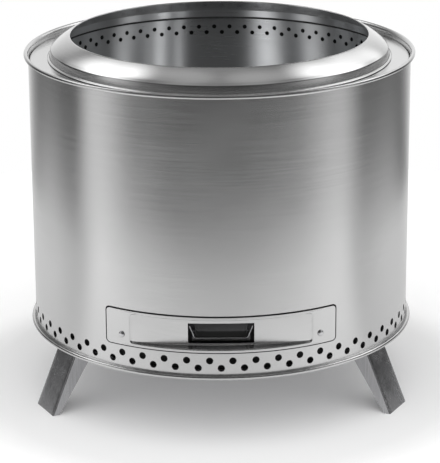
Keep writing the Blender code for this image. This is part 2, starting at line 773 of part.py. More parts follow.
def pin_bore():
    bore = bars_mesh("pin_bore", [Matrix()], PIN_R + GAP, 2 * LEG_WIDTH, PIN_SIDES)
    return add_cutter("pin_bore", bore)


def leg_mesh():
    side, cavity = leg_outlines()
    template = add_cutter("leg_template", plate_mesh("leg", side, LEG_WIDTH))
    boolean(template, add_cutter("leg_cavity", plate_mesh("leg_cavity", cavity, LEG_WIDTH - 2 * LEG_SHEET)))
    boolean(template, pin_bore())
    return frozen(template)


def bracket_mesh():
    """A bent bracket: a plate under the pan, which also stops the open leg, and two eyes for the pin.

    The plate thins a little towards its free edges.
    """
    pivot_r = pivot_radius()
    top = BRACKET_TOP_Z - PIVOT_Z
    under = top - BRACKET_SHEET
    side = [
        (BRACKET_INNER_R - pivot_r, under + BRACKET_EDGE_THIN),
        (BRACKET_INNER_R - pivot_r, top),
        (BRACKET_OUTER_R - pivot_r, top),
        (BRACKET_OUTER_R - pivot_r, under + BRACKET_EDGE_THIN),
        (BRACKET_CHEEK_OUTER_R - pivot_r, under),
    ]
    side += arc((0.0, 0.0), BRACKET_EYE_R, (15, -25, -65, -105, -145))
    side += [(BRACKET_CHEEK_INNER_R - pivot_r, under)]
    cavity = [
        (BRACKET_INNER_R - pivot_r - CUTTER_REACH, under),
        (BRACKET_OUTER_R - pivot_r + CUTTER_REACH, under),
        (BRACKET_OUTER_R - pivot_r + CUTTER_REACH, -2 * CUTTER_REACH),
        (BRACKET_INNER_R - pivot_r - CUTTER_REACH, -2 * CUTTER_REACH),
    ]
    inside = 2 * (BRACKET_HALF - BRACKET_SHEET)
    template = add_cutter("bracket_template", plate_mesh("bracket", side, 2 * BRACKET_HALF))
    boolean(template, add_cutter("bracket_cavity", plate_mesh("bracket_cavity", cavity, inside)))
    boolean(template, pin_bore())
    placements = []
    for offset in (-BRACKET_RIVET_OFFSET, BRACKET_RIVET_OFFSET):
        placements.append(pointing((0, 1, 0), (BRACKET_RIVET_R - pivot_r, top, offset)))
    holes = bars_mesh(
        "bracket_holes", placements, BRACKET_RIVET_SHANK_R + GAP, CUTTER_REACH, BRACKET_RIVET_SIDES
    )
    boolean(template, add_cutter("bracket_holes", holes))
    return frozen(template)


def make_hinge_pin(word, frame):
    """A pin with a flat head outside each flange of the leg."""
    shank = LEG_WIDTH / 2 + GAP
    outline = (
        (0.0, shank + PIN_HEAD_H),
        (PIN_HEAD_R, shank + PIN_HEAD_H),
        (PIN_HEAD_R, shank),
        (PIN_R, shank),
        (PIN_R, -shank),
        (PIN_HEAD_R, -shank),
        (PIN_HEAD_R, -shank - PIN_HEAD_H),
        (0.0, -shank - PIN_HEAD_H),
    )
    pin = turned("hinge_pin_" + word, outline, PIN_SIDES, SATIN, closed=False)
    pin.matrix_world = frame


def make_legs():
    leg = leg_mesh()
    bracket = bracket_mesh()
    for word, azimuth in LEG_AZIMUTHS.items():
        frame = upright_frame(azimuth, at_azimuth(azimuth, pivot_radius(), PIVOT_Z))
        for name, mesh, finish in (
            ("leg_" + word, leg, BRUSHED),
            ("leg_bracket_" + word, bracket, HIDDEN),
        ):
            part = add_part(name, mesh.copy(), finish)
            part.matrix_world = frame
        make_hinge_pin(word, frame)


def bracket_rivet_places():
    """The underside of the pan at each rivet, two to a bracket, by the rivet's name."""
    places = {}
    for word, azimuth in LEG_AZIMUTHS.items():
        side = Vector((0.0, 0.0, 1.0)).cross(radial(azimuth))
        for number, offset in ((1, -BRACKET_RIVET_OFFSET), (2, BRACKET_RIVET_OFFSET)):
            place = at_azimuth(azimuth, BRACKET_RIVET_R, PAN_Z) + side * offset
            places["bracket_rivet_%s_%d" % (word, number)] = place
    return places


def make_bracket_rivets():
    tail = SHEET + GAP
    head = -GAP - BRACKET_SHEET - GAP
    outline = (
        (0.0, tail + BRACKET_RIVET_HEAD_H),
        (BRACKET_RIVET_HEAD_R, tail + BRACKET_RIVET_HEAD_H),
        (BRACKET_RIVET_HEAD_R, tail),
        (BRACKET_RIVET_SHANK_R, tail),
        (BRACKET_RIVET_SHANK_R, head),
        (BRACKET_RIVET_HEAD_R, head),
        (BRACKET_RIVET_HEAD_R, head - BRACKET_RIVET_HEAD_H),
        (0.0, head - BRACKET_RIVET_HEAD_H),
    )
    for name, place in bracket_rivet_places().items():
        rivet = turned(name, outline, BRACKET_RIVET_SIDES, HIDDEN, closed=False)
        rivet.location = place


clear_scene()
parts = new_collection("fire_pit")
cutters = new_collection("cutters")
make_outer_shell()
make_inner_wall()
make_top_deck()
make_base_pan()
make_flame_ring()
make_chamber_floor()
make_fire_grate()
make_drawer()
make_rails_and_stop()
make_legs()
make_bracket_rivets()
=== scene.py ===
import math

import bmesh
import bpy
from mathutils import Matrix, Vector


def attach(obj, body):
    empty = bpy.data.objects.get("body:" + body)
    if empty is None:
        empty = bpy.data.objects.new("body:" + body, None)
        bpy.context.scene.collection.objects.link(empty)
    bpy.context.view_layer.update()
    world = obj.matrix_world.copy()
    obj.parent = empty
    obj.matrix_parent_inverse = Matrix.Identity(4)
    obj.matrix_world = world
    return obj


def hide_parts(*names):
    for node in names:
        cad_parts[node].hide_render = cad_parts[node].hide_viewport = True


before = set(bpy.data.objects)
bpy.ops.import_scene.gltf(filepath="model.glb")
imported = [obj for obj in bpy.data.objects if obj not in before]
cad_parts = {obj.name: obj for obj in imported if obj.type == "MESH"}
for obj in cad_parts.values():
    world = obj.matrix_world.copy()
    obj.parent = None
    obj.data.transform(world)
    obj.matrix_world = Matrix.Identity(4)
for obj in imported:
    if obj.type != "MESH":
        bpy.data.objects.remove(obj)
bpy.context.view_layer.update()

# Heights are measured from the bead at the foot of the barrel, which is BEAD above the floor
BEAD = 0.110
SHEET = 0.0010
SHELL_R = 0.2900
RIM_H = 0.4194
CURL_R = 0.00255
CURL_CENTRE_R = 0.29362
WALL_R = 0.2720
DECK_H = 0.4118
DECK_LIP_R = 0.2575
FLOOR_H = 0.0940
SEAT_DROP = 0.0045
INLET_COUNT = 54
INLET_R = 0.0053
OUTLET_COUNT = 68
OUTLET_R = 0.0034
OUTLET_START = 179.1
# Windows for the drawer: half width, lower and upper edge, corner radius
SHELL_WINDOW = (0.1690, BEAD + 0.0360, BEAD + 0.0937, 0.0064)
WALL_WINDOW = (0.1500, BEAD + 0.0330, BEAD + 0.0925, 0.004)
# Pieces that touch keep a gap, and a flange keeps one from the wall round it
GAP = 0.0003
FLANGE_GAP = 0.0006

# Camera
CAMERA_PLACE = (0.0, -3.2402, 1.2882)
CAMERA_ELEVATION = 17.95
CAMERA_ROLL = -0.35
CAMERA_SHIFT = -0.0011
LENS = 169.75


def radial(azimuth):
    """Horizontal direction at an azimuth in degrees from the front, positive towards +X."""
    angle = math.radians(azimuth)
    return Vector((math.sin(angle), -math.cos(angle), 0.0))


def upright(azimuth, origin):
    """Local X points outward at the azimuth, local Y up and local Z along the tangent."""
    out = radial(azimuth)
    up = Vector((0.0, 0.0, 1.0))
    matrix = Matrix((out, up, out.cross(up))).transposed().to_4x4()
    matrix.translation = origin
    return matrix


def pointing(direction, origin):
    matrix = Vector(direction).to_track_quat("Z", "Y").to_matrix().to_4x4()
    matrix.translation = origin
    return matrix


# Meshes

def new_piece(name, bm, material, body=None, replaced=(), sharp=38.0):
    """A finished mesh object; it rides on a body and stands for the CAD nodes that it replaces."""
    bmesh.ops.recalc_face_normals(bm, faces=bm.faces)
    mesh = bpy.data.meshes.new(name)
    bm.to_mesh(mesh)
    bm.free()
    mesh.shade_smooth()
    mesh.set_sharp_from_angle(angle=math.radians(sharp))
    mesh.materials.append(material)
    piece = bpy.data.objects.new(name, mesh)
    bpy.context.scene.collection.objects.link(piece)
    if body:
        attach(piece, body)
    if replaced:
        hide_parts(*replaced)
    return piece


def rounded_path(points, steps=6):
    """A polyline (x, y, fillet radius) with its corners rounded, and support points by the fillets."""
    path = []
    count = len(points)
    for i, (x, y, radius) in enumerate(points):
        here = Vector((x, y))
        if i in (0, count - 1) or radius <= 0:
            path.append(here)
            continue
        before = (Vector(points[i - 1][:2]) - here).normalized()
        after = (Vector(points[i + 1][:2]) - here).normalized()
        half = before.angle(after) / 2
        reach = radius / math.tan(half)
        start = here + before * reach
        end = here + after * reach
        centre = here + (before + after).normalized() * (radius / math.sin(half))
        first, last = start - centre, end - centre
        turn = (math.pi - 2 * half) * (1 if first.x * last.y - first.y * last.x > 0 else -1)
        for j in range(steps + 1):
            angle = turn * j / steps
            c, s = math.cos(angle), math.sin(angle)
            path.append(centre + Vector((first.x * c - first.y * s, first.x * s + first.y * c)))
    return supported(path)


def supported(path, margin=0.0006, longest=0.004):
    """Points close to both ends of each long run keep the shading of the run straight."""
    done = [path[0]]
    for a, b in zip(path, path[1:]):
        length = (b - a).length
        if length > longest:
            run = (b - a) / length
            done.append(a + run * margin)
            done.append(b - run * margin)
        done.append(b)
    return done


def run_at(path, i):
    """Direction of a path at one of its points."""
    return (path[min(i + 1, len(path) - 1)] - path[max(i - 1, 0)]).normalized()


def sheet_outline(path, thickness):
    """The closed outline of a bent sheet from its centre line; its free edges are rounded."""
    half = thickness / 2
    normals = []
    for i in range(len(path)):
        run = run_at(path, i)
        normals.append(Vector((-run.y, run.x)))
    left = [p + n * half for p, n in zip(path, normals)]
    right = [p - n * half for p, n in zip(path, normals)]
    end_run = (path[-1] - path[-2]).normalized()
    start_run = (path[0] - path[1]).normalized()
    outline = list(left)
    outline.append(path[-1] + end_run * half * 0.7 + normals[-1] * half * 0.6)
    outline.append(path[-1] + end_run * half * 0.7 - normals[-1] * half * 0.6)
    outline += reversed(right)
    outline.append(path[0] + start_run * half * 0.7 - normals[0] * half * 0.6)
    outline.append(path[0] + start_run * half * 0.7 + normals[0] * half * 0.6)
    return outline


def turned(outline, steps):
    """A closed outline (radius, height) swept round the vertical axis. Points on the axis share a vertex."""
    bm = bmesh.new()
    rings = []
    for r, z in outline:
        if r < 1e-6:
            rings.append([bm.verts.new((0.0, 0.0, z))] * steps)
            continue
        ring = []
        for i in range(steps):
            out = radial(360.0 * i / steps) * r
            ring.append(bm.verts.new((out.x, out.y, z)))
        rings.append(ring)
    for inner, outer in zip(rings, rings[1:] + rings[:1]):
        if inner[0] is inner[1] and outer[0] is outer[1]:
            continue
        for i in range(steps):
            j = (i + 1) % steps
            corners = []
            for vert in (inner[i], inner[j], outer[j], outer[i]):
                if vert not in corners:
                    corners.append(vert)
            bm.faces.new(corners)
    return bm


def lofted(rows, closed=False, caps=False):
    """Quads between rows of points of equal length."""
    bm = bmesh.new()
    lines = [[bm.verts.new(p) for p in row] for row in rows]
    for a, b in zip(lines, lines[1:]):
        count = len(a)
        for i in range(count if closed else count - 1):
            j = (i + 1) % count
            bm.faces.new((a[i], a[j], b[j], b[i]))
    if caps:
        bm.faces.new(lines[0])
        bm.faces.new(list(reversed(lines[-1])))
    return bm


def thicken(bm, thickness):
    """Adds the inner side of a sheet, behind the faces as they point now."""
    mesh = bpy.data.meshes.new("sheet")
    bm.to_mesh(mesh)
    bm.free()
    template = bpy.data.objects.new("sheet", mesh)
    bpy.context.scene.collection.objects.link(template)
    modifier = template.modifiers.new("sheet", "SOLIDIFY")
    modifier.thickness = thickness
    modifier.offset = -1.0
    modifier.use_even_offset = True
    return baked(template)


def baked(template):
    """The mesh that an object with modifiers evaluates to, as a bmesh; the object goes."""
    bpy.context.view_layer.update()
    depsgraph = bpy.context.evaluated_depsgraph_get()
    bm = bmesh.new()
    mesh = bpy.data.meshes.new_from_object(template.evaluated_get(depsgraph))
    bm.from_mesh(mesh)
    bpy.data.objects.remove(template)
    return bm


def cut(bm, cutters):
    """The first mesh cut by each of the others."""
    mesh = bpy.data.meshes.new("blank")
    bm.to_mesh(mesh)
    bm.free()
    blank = bpy.data.objects.new("blank", mesh)
    bpy.context.scene.collection.objects.link(blank)
    tools = []
    for cutter in cutters:
        tool_mesh = bpy.data.meshes.new("cutter")
        bmesh.ops.recalc_face_normals(cutter, faces=cutter.faces)
        cutter.to_mesh(tool_mesh)
        cutter.free()
        tool = bpy.data.objects.new("cutter", tool_mesh)
        bpy.context.scene.collection.objects.link(tool)
        tools.append(tool)
        modifier = blank.modifiers.new("cut", "BOOLEAN")
        modifier.operation = "DIFFERENCE"
        modifier.object = tool
    result = baked(blank)
    for tool in tools:
        bpy.data.objects.remove(tool)
    return result


def hole_cutters(radius, count, rows, hole_r, sides=28, reach=0.02):
    bm = bmesh.new()
    for height, first in rows:
        for i in range(count):
            azimuth = first + 360.0 * i / count
            place = radial(azimuth) * radius
            place.z = BEAD + height
            bmesh.ops.create_cone(
                bm, cap_ends=True, segments=sides, radius1=hole_r, radius2=hole_r, depth=reach,
                matrix=pointing(radial(azimuth), place),
            )
    return bm


def rounded_rect(half, low, high, radius, across, up, corner):
    """Points of a rounded rectangle in (x, height), anticlockwise from its lower left corner."""
    points = []
    corners = ((half - radius, low + radius, -90), (half - radius, high - radius, 0),
               (radius - half, high - radius, 90), (radius - half, low + radius, 180))
    counts = (up, across, up, across)
    for k, (x, z, first) in enumerate(corners):
        for i in range(corner + 1):
            angle = math.radians(first + 90.0 * i / corner)
            points.append(Vector((x + radius * math.cos(angle), z + radius * math.sin(angle))))
        nx, nz, nfirst = corners[(k + 1) % 4]
        angle = math.radians(nfirst)
        target = Vector((nx + radius * math.cos(angle), nz + radius * math.sin(angle)))
        start = points[-1].copy()
        for i in range(1, counts[k]):
            points.append(start.lerp(target, i / counts[k]))
    return points


def window_block(window, corner, front, back):
    """A block that cuts a window, between two depths."""
    points = rounded_rect(*window, 1, 1, corner)
    return lofted([[(p.x, y, p.y) for p in points] for y in (front, back)], closed=True, caps=True)


def wall_normals(piece, radii, low, high):
    """Exact radial normals on the plain walls, so that holes leave no trace in the reflections."""
    mesh = piece.data
    normals = [Vector(n.vector) for n in mesh.corner_normals]
    for polygon in mesh.polygons:
        places = [mesh.vertices[i].co for i in polygon.vertices]
        if min(p.z for p in places) < BEAD + low or max(p.z for p in places) > BEAD + high:
            continue
        if any(min(abs(p.xy.length - r) for r in radii) > 0.00008 for p in places):
            continue
        facing = outward_part(polygon)
        if abs(facing) < 0.97:
            continue
        for loop, place in zip(polygon.loop_indices, places):
            out = Vector((place.x, place.y, 0.0)).normalized()
            normals[loop] = out if facing > 0 else -out
    mesh.normals_split_custom_set(normals)


def outward_part(face):
    """How far a face looks away from the axis, from -1 to 1."""
    return face.normal.dot(Vector((face.center.x, face.center.y, 0.0)).normalized())


def resurface(piece, material, chosen):
    """Gives another steel to the faces that the test picks."""
    piece.data.materials.append(material)
    slot = len(piece.data.materials) - 1
    for face in piece.data.polygons:
        if chosen(face):
            face.material_index = slot


def paint_plenum_shade(piece, outward, low, high):
    """The faces between the two walls, and cut edges, get the near-black steel, which paints the shade there.
    """
    def gets_painted_shade(face):
        return BEAD + low < face.center.z < BEAD + high and outward_part(face) * outward > -0.5

    resurface(piece, PAINTED_SHADE_STEEL, gets_painted_shade)


# Materials

def node(tree, kind, **values):
    made = tree.nodes.new(kind)
    for key, value in values.items():
        if hasattr(made, key):
            setattr(made, key, value)
        else:
            made.inputs[key].default_value = value
    return made


def maths(tree, operation, *sources):
    """A Math node over sockets and numbers."""
    made = node(tree, "ShaderNodeMath", operation=operation)
    for slot, source in zip(made.inputs, sources):
        if isinstance(source, (int, float)):
            slot.default_value = source
        else:
            tree.links.new(source, slot)
    return made.outputs[0]


def grain_coordinates(tree, along, across, mode):
    """Coordinates in which noise is long along the brushing and short across it."""
    place = tree.nodes.new("ShaderNodeTexCoord").outputs["Object"]
    split = node(tree, "ShaderNodeSeparateXYZ")
    tree.links.new(place, split.inputs[0])
    joined = node(tree, "ShaderNodeCombineXYZ")

    def scaled(source, factor):
        return maths(tree, "MULTIPLY", source, factor)

    x, y, z = split.outputs
    if mode == "turned":
        flat = node(tree, "ShaderNodeVectorMath", operation="MULTIPLY")
        tree.links.new(place, flat.inputs[0])
        flat.inputs[1].default_value = (1.0, 1.0, 0.0)
        length = node(tree, "ShaderNodeVectorMath", operation="LENGTH")
        tree.links.new(flat.outputs[0], length.inputs[0])
        slope = maths(tree, "SUBTRACT", length.outputs["Value"], z)
        sources = (scaled(x, along), scaled(y, along), scaled(slope, across))
    elif mode == "across":
        sources = (scaled(x, along), scaled(y, across), scaled(z, across))
    else:
        sources = (scaled(x, across), scaled(y, across), scaled(z, along))
    for source, target in zip(sources, joined.inputs):
        tree.links.new(source, target)
    return place, joined.outputs[0]


def steel(name, colour, roughness, mode="turned", along=7.0, across=620.0, grain=0.05, cloud=0.05,
          anisotropy=0.0, bump=0.02, tint=0.0, cloud_scale=9.0):
    """Brushed stainless steel: fine grain and broad clouds in its roughness, and grain in its relief."""
    material = bpy.data.materials.new(name)
    material.use_nodes = True
    tree = material.node_tree
    shader = tree.nodes["Principled BSDF"]
    shader.inputs["Metallic"].default_value = 1.0
    shader.inputs["Anisotropic"].default_value = anisotropy
    if anisotropy:
        shader.inputs["Anisotropic Rotation"].default_value = 0.25
        tangent = node(tree, "ShaderNodeTangent", direction_type="RADIAL", axis="Z")
        tree.links.new(tangent.outputs[0], shader.inputs["Tangent"])
    place, stretched = grain_coordinates(tree, along, across, mode)
    lines = node(tree, "ShaderNodeTexNoise", Scale=1.0, Detail=3.0, Roughness=0.6)
    tree.links.new(stretched, lines.inputs["Vector"])
    clouds = node(tree, "ShaderNodeTexNoise", Scale=cloud_scale, Detail=4.0, Roughness=0.55)
    tree.links.new(place, clouds.inputs["Vector"])

    def spread(source, low, high):
        ranged = node(tree, "ShaderNodeMapRange")
        ranged.inputs["From Min"].default_value = 0.3
        ranged.inputs["From Max"].default_value = 0.7
        ranged.inputs["To Min"].default_value = low
        ranged.inputs["To Max"].default_value = high
        tree.links.new(source, ranged.inputs["Value"])
        return ranged.outputs[0]

    fine = spread(lines.outputs["Fac"], roughness - grain, roughness + grain)
    broad = spread(clouds.outputs["Fac"], -cloud, cloud)
    tree.links.new(maths(tree, "ADD", fine, broad), shader.inputs["Roughness"])
    mixed = node(tree, "ShaderNodeMix", data_type="RGBA")
    dark = [c * (1.0 - 1.6 * grain - tint) for c in colour]
    mixed.inputs[6].default_value = (*dark, 1.0)
    mixed.inputs[7].default_value = (*colour, 1.0)
    tree.links.new(spread(lines.outputs["Fac"], 0.0, 1.0), mixed.inputs[0])
    tree.links.new(mixed.outputs[2], shader.inputs["Base Color"])
    relief = node(tree, "ShaderNodeBump", Strength=bump, Distance=0.0004)
    tree.links.new(lines.outputs["Fac"], relief.inputs["Height"])
    tree.links.new(relief.outputs[0], shader.inputs["Normal"])
    return material


SHELL_STEEL = steel("shell_steel", (0.62, 0.62, 0.62), 0.21, anisotropy=0.8, grain=0.025, cloud=0.02)
# The same steel as the shell, made lighter: painted light on the recessed panel of the drawer front
LIT_PANEL_STEEL = steel("panel_steel_painted_lighter", (0.72, 0.72, 0.72), 0.21, anisotropy=0.8, grain=0.025, cloud=0.02)
RING_STEEL = steel("ring_steel", (0.66, 0.66, 0.66), 0.20, anisotropy=0.7, grain=0.03, cloud=0.02)
CHAMBER_STEEL = steel("chamber_steel", (0.55, 0.56, 0.57), 0.30, anisotropy=1.0, grain=0.02, cloud=0.02)
FLOOR_STEEL = steel("floor_steel", (0.36, 0.36, 0.37), 0.30, grain=0.04, cloud=0.05)
# Near-black steel that paints shade: the space between the walls, cut edges, the underside of the deck, the
# floor of the pull's dish and the tray beside it
PAINTED_SHADE_STEEL = steel("painted_shade_steel", (0.07, 0.07, 0.07), 0.62, grain=0.04, cloud=0.06)
FRAME_STEEL = steel("frame_steel", (0.50, 0.50, 0.51), 0.36, mode="across", grain=0.04, cloud=0.06)
LEG_STEEL = steel("leg_steel", (0.42, 0.42, 0.43), 0.22, mode="up", along=20.0, grain=0.05, cloud=0.08,
                  tint=0.15, cloud_scale=30.0)
PULL_STEEL = steel("pull_steel", (0.40, 0.40, 0.41), 0.16, mode="across", grain=0.02, cloud=0.02)
FASTENER_STEEL = steel("fastener_steel", (0.62, 0.62, 0.63), 0.22, grain=0.03, cloud=0.03)


# Outer shell: the wall turns outward over a rolled curl at the top, and under one at the foot

def curl_path(level, up):
    """From the wall round the curl; up is 1 at the rim and -1 at the foot."""
    wall_r = SHELL_R - SHEET / 2
    start = Vector((wall_r, level - up * 0.0036))
    first = math.radians(135.0)
    join = Vector((CURL_CENTRE_R + CURL_R * math.cos(first), level + up * CURL_R * math.sin(first)))
    tangent = Vector((math.sin(first), -up * math.cos(first)))
    a = start + Vector((0.0, up * 0.0022))
    b = join - tangent * 0.0016
    path = []
    for i in range(8):
        t = i / 8
        s = 1 - t
        path.append(start * s ** 3 + a * 3 * s * s * t + b * 3 * s * t * t + join * t ** 3)
    for i in range(29):
        angle = math.radians(135.0 - 322.0 * i / 28)
        path.append(Vector((CURL_CENTRE_R + CURL_R * math.cos(angle), level + up * CURL_R * math.sin(angle))))
    return path


def make_outer_shell():
    top = curl_path(BEAD + RIM_H, 1)
    foot = curl_path(BEAD, -1)
    under_deck = Vector((SHELL_R - SHEET / 2, BEAD + DECK_H - 0.0030))
    path = list(reversed(foot)) + [under_deck] + top
    path = supported(path)
    outline = sheet_outline(path, SHEET)
    shell = turned(outline, 432)
    rows = ((0.0139, 0.0), (0.0252, 180.0 / INLET_COUNT))
    holes = hole_cutters(SHELL_R, INLET_COUNT, rows, INLET_R)
    shell = cut(shell, [holes, window_block(SHELL_WINDOW, 8, -0.33, -0.20)])
    piece = new_piece("outer_shell_skin", shell, SHELL_STEEL, "root", ["outer_shell"])
    wall_normals(piece, (SHELL_R, SHELL_R - SHEET), 0.0042, RIM_H - 0.0042)
    # Painted shade on the inner side of the shell and on its cut edges
    paint_plenum_shade(piece, -1, 0.0042, DECK_H - 0.0030)


def make_inner_wall():
    middle = WALL_R - SHEET / 2
    path = rounded_path([
        (WALL_R + 0.0070, BEAD + 0.4100, 0),
        (middle, BEAD + 0.4100, 0.0016),
        (middle, BEAD + 0.0045, 0),
    ])
    wall = turned(sheet_outline(path, SHEET), 408)
    rows = ((0.3851, OUTLET_START), (0.3945, OUTLET_START + 180.0 / OUTLET_COUNT))
    holes = hole_cutters(WALL_R, OUTLET_COUNT, rows, OUTLET_R, 24)
    wall = cut(wall, [holes, window_block(WALL_WINDOW, 4, -0.29, -0.145)])
    piece = new_piece("inner_wall_skin", wall, CHAMBER_STEEL, "root", ["inner_wall"])
    wall_normals(piece, (WALL_R, WALL_R - SHEET), 0.0050, 0.4070)
    # Painted shade on the outer side of the inner wall and on its cut edges
    paint_plenum_shade(piece, 1, 0.0050, 0.4070)


def make_top_deck():
    outer = SHELL_R - SHEET - FLANGE_GAP - SHEET / 2
    level = BEAD + DECK_H - SHEET / 2
    path = rounded_path([
        (DECK_LIP_R, BEAD + DECK_H + 0.0027, 0),
        (DECK_LIP_R, level, 0.0009),
        (outer, level, 0.0024),
        (outer, BEAD + DECK_H - 0.0108, 0),
    ])
    bm = turned(sheet_outline(path, SHEET), 300)
    piece = new_piece("top_deck_skin", bm, RING_STEEL, "root", ["top_deck"])
    # Painted shade: the underside of the deck and its inner lip get the near-black steel
    lip = DECK_LIP_R + SHEET
    resurface(piece, PAINTED_SHADE_STEEL, lambda face: face.normal.z < -0.5 or face.center.xy.length < lip)


def make_base_pan():
    outer = SHELL_R - SHEET - FLANGE_GAP - SHEET / 2
    level = BEAD + 0.0037
    path = rounded_path([
        (outer, BEAD + 0.0080, 0),
        (outer, level, 0.0012),
        (0.0, level, 0),
    ])
    bm = turned(pan_outline(path), 180)
    new_piece("base_pan_skin", bm, FRAME_STEEL, "root", ["base_pan"])


def pan_outline(path):
    """As sheet_outline, but the path ends on the axis, where the outline closes."""
    half = SHEET / 2
    left = []
    right = []
    for i, p in enumerate(path):
        run = run_at(path, i)
        normal = Vector((-run.y, run.x)) * half
        left.append(p + normal)
        right.append(p - normal)
    return left + list(reversed(right))


def make_flame_ring():
    mouth = Vector((0.22535, BEAD + 0.4466))
    foot = Vector((0.2512, BEAD + 0.4293))
    out = Vector((mouth.y - foot.y, foot.x - mouth.x)).normalized()
    crown = [mouth.lerp(foot, i / 8) + out * 0.0030 * (i / 8) * (1 - i / 8) for i in range(9)]
    points = [(0.2262, BEAD + 0.4448, 0), (crown[0].x, crown[0].y, 0.0007)]
    points += [(p.x, p.y, 0) for p in crown[1:-1]]
    points += [
        (crown[-1].x, crown[-1].y, 0),
        (0.2552, BEAD + 0.4256, 0.0027),
        (0.2573, BEAD + 0.4140, 0.0018),
        (0.2606, BEAD + 0.4130, 0),
    ]
    path = rounded_path(points, steps=9)
    bm = turned(sheet_outline(path, 0.0011), 300)
    piece = new_piece("flame_ring_skin", bm, RING_STEEL, "ring", ["flame_ring"])
    resurface(piece, CHAMBER_STEEL, lambda face: outward_part(face) < -0.7)


def make_chamber_floor():
    level = BEAD + FLOOR_H + SHEET / 2
    outer = WALL_R - SHEET - FLANGE_GAP - SHEET / 2
    seat = BEAD + FLOOR_H - SEAT_DROP + SHEET / 2
    path = rounded_path([
        (outer, BEAD + FLOOR_H - 0.0042, 0),
        (outer, level, 0.0014),
        (0.1855, level, 0.0012),
        (0.1855, seat, 0.0012),
        (0.1702, seat, 0),
    ])
    bm = turned(sheet_outline(path, SHEET), 240)
    new_piece("chamber_floor_skin", bm, FLOOR_STEEL, "root", ["chamber_floor"])


GRATE_R = 0.1810
GRATE_SHEET = 0.0025
GRATE_EDGE = 0.0007
SLOT_HALF = 0.0035
# Rings of slots: inner end, outer end, number of slots, azimuth of the first
SLOT_RINGS = ((0.026, 0.058, 8, 0.0), (0.070, 0.110, 16, 11.25), (0.122, 0.162, 24, 0.0))


def make_fire_grate():
    low = BEAD + FLOOR_H - SEAT_DROP + SHEET + GAP
    high = low + GRATE_SHEET
    disc = turned([
        (0.0, low),
        (GRATE_R - GRATE_EDGE, low),
        (GRATE_R, low + GRATE_EDGE),
        (GRATE_R, high - GRATE_EDGE),
        (GRATE_R - GRATE_EDGE, high),
        (0.0, high),
    ], 180)
    slots = bmesh.new()
    for inner, outer, count, first in SLOT_RINGS:
        for i in range(count):
            azimuth = first + 360.0 * i / count
            matrix = upright(azimuth, Vector((0.0, 0.0, low)))
            outline = []
            for centre, begin in ((outer - SLOT_HALF, -90.0), (inner + SLOT_HALF, 90.0)):
                for j in range(9):
                    angle = math.radians(begin + 180.0 * j / 8)
                    outline.append((centre + SLOT_HALF * math.cos(angle), SLOT_HALF * math.sin(angle)))
            lines = []
            for level in (-0.01, 0.01):
                lines.append([slots.verts.new(matrix @ Vector((x, level, z))) for x, z in outline])
            for j in range(len(outline)):
                k = (j + 1) % len(outline)
                slots.faces.new((lines[0][j], lines[0][k], lines[1][k], lines[1][j]))
            slots.faces.new(lines[0])
            slots.faces.new(list(reversed(lines[1])))
    grate = cut(disc, [slots])
    new_piece("fire_grate_skin", grate, FLOOR_STEEL, "grate", ["fire_grate"])


# Drawer

FRONT_HALF = 0.1676
FRONT_LOW = BEAD + 0.0374
FRONT_HIGH = BEAD + 0.0910
RECESS_HALF = 0.1330
RECESS_LOW = BEAD + 0.0422
RECESS_HIGH = BEAD + 0.0865
PANEL_MID = -0.2705
PANEL_END = -0.2565
RECESS_BEND = 0.0016
RECESS_SLOPE = 0.0006
PULL_HALF = 0.0483
PULL_LOW = BEAD + 0.0452
PULL_HIGH = BEAD + 0.0758


def shell_y(x):
    return -math.sqrt(SHELL_R ** 2 - x ** 2)


def panel_y(x):
    sagitta = PANEL_END - PANEL_MID
    radius = (RECESS_HALF ** 2 + sagitta ** 2) / (2 * sagitta)
    return PANEL_MID + radius - math.sqrt(radius ** 2 - x ** 2)


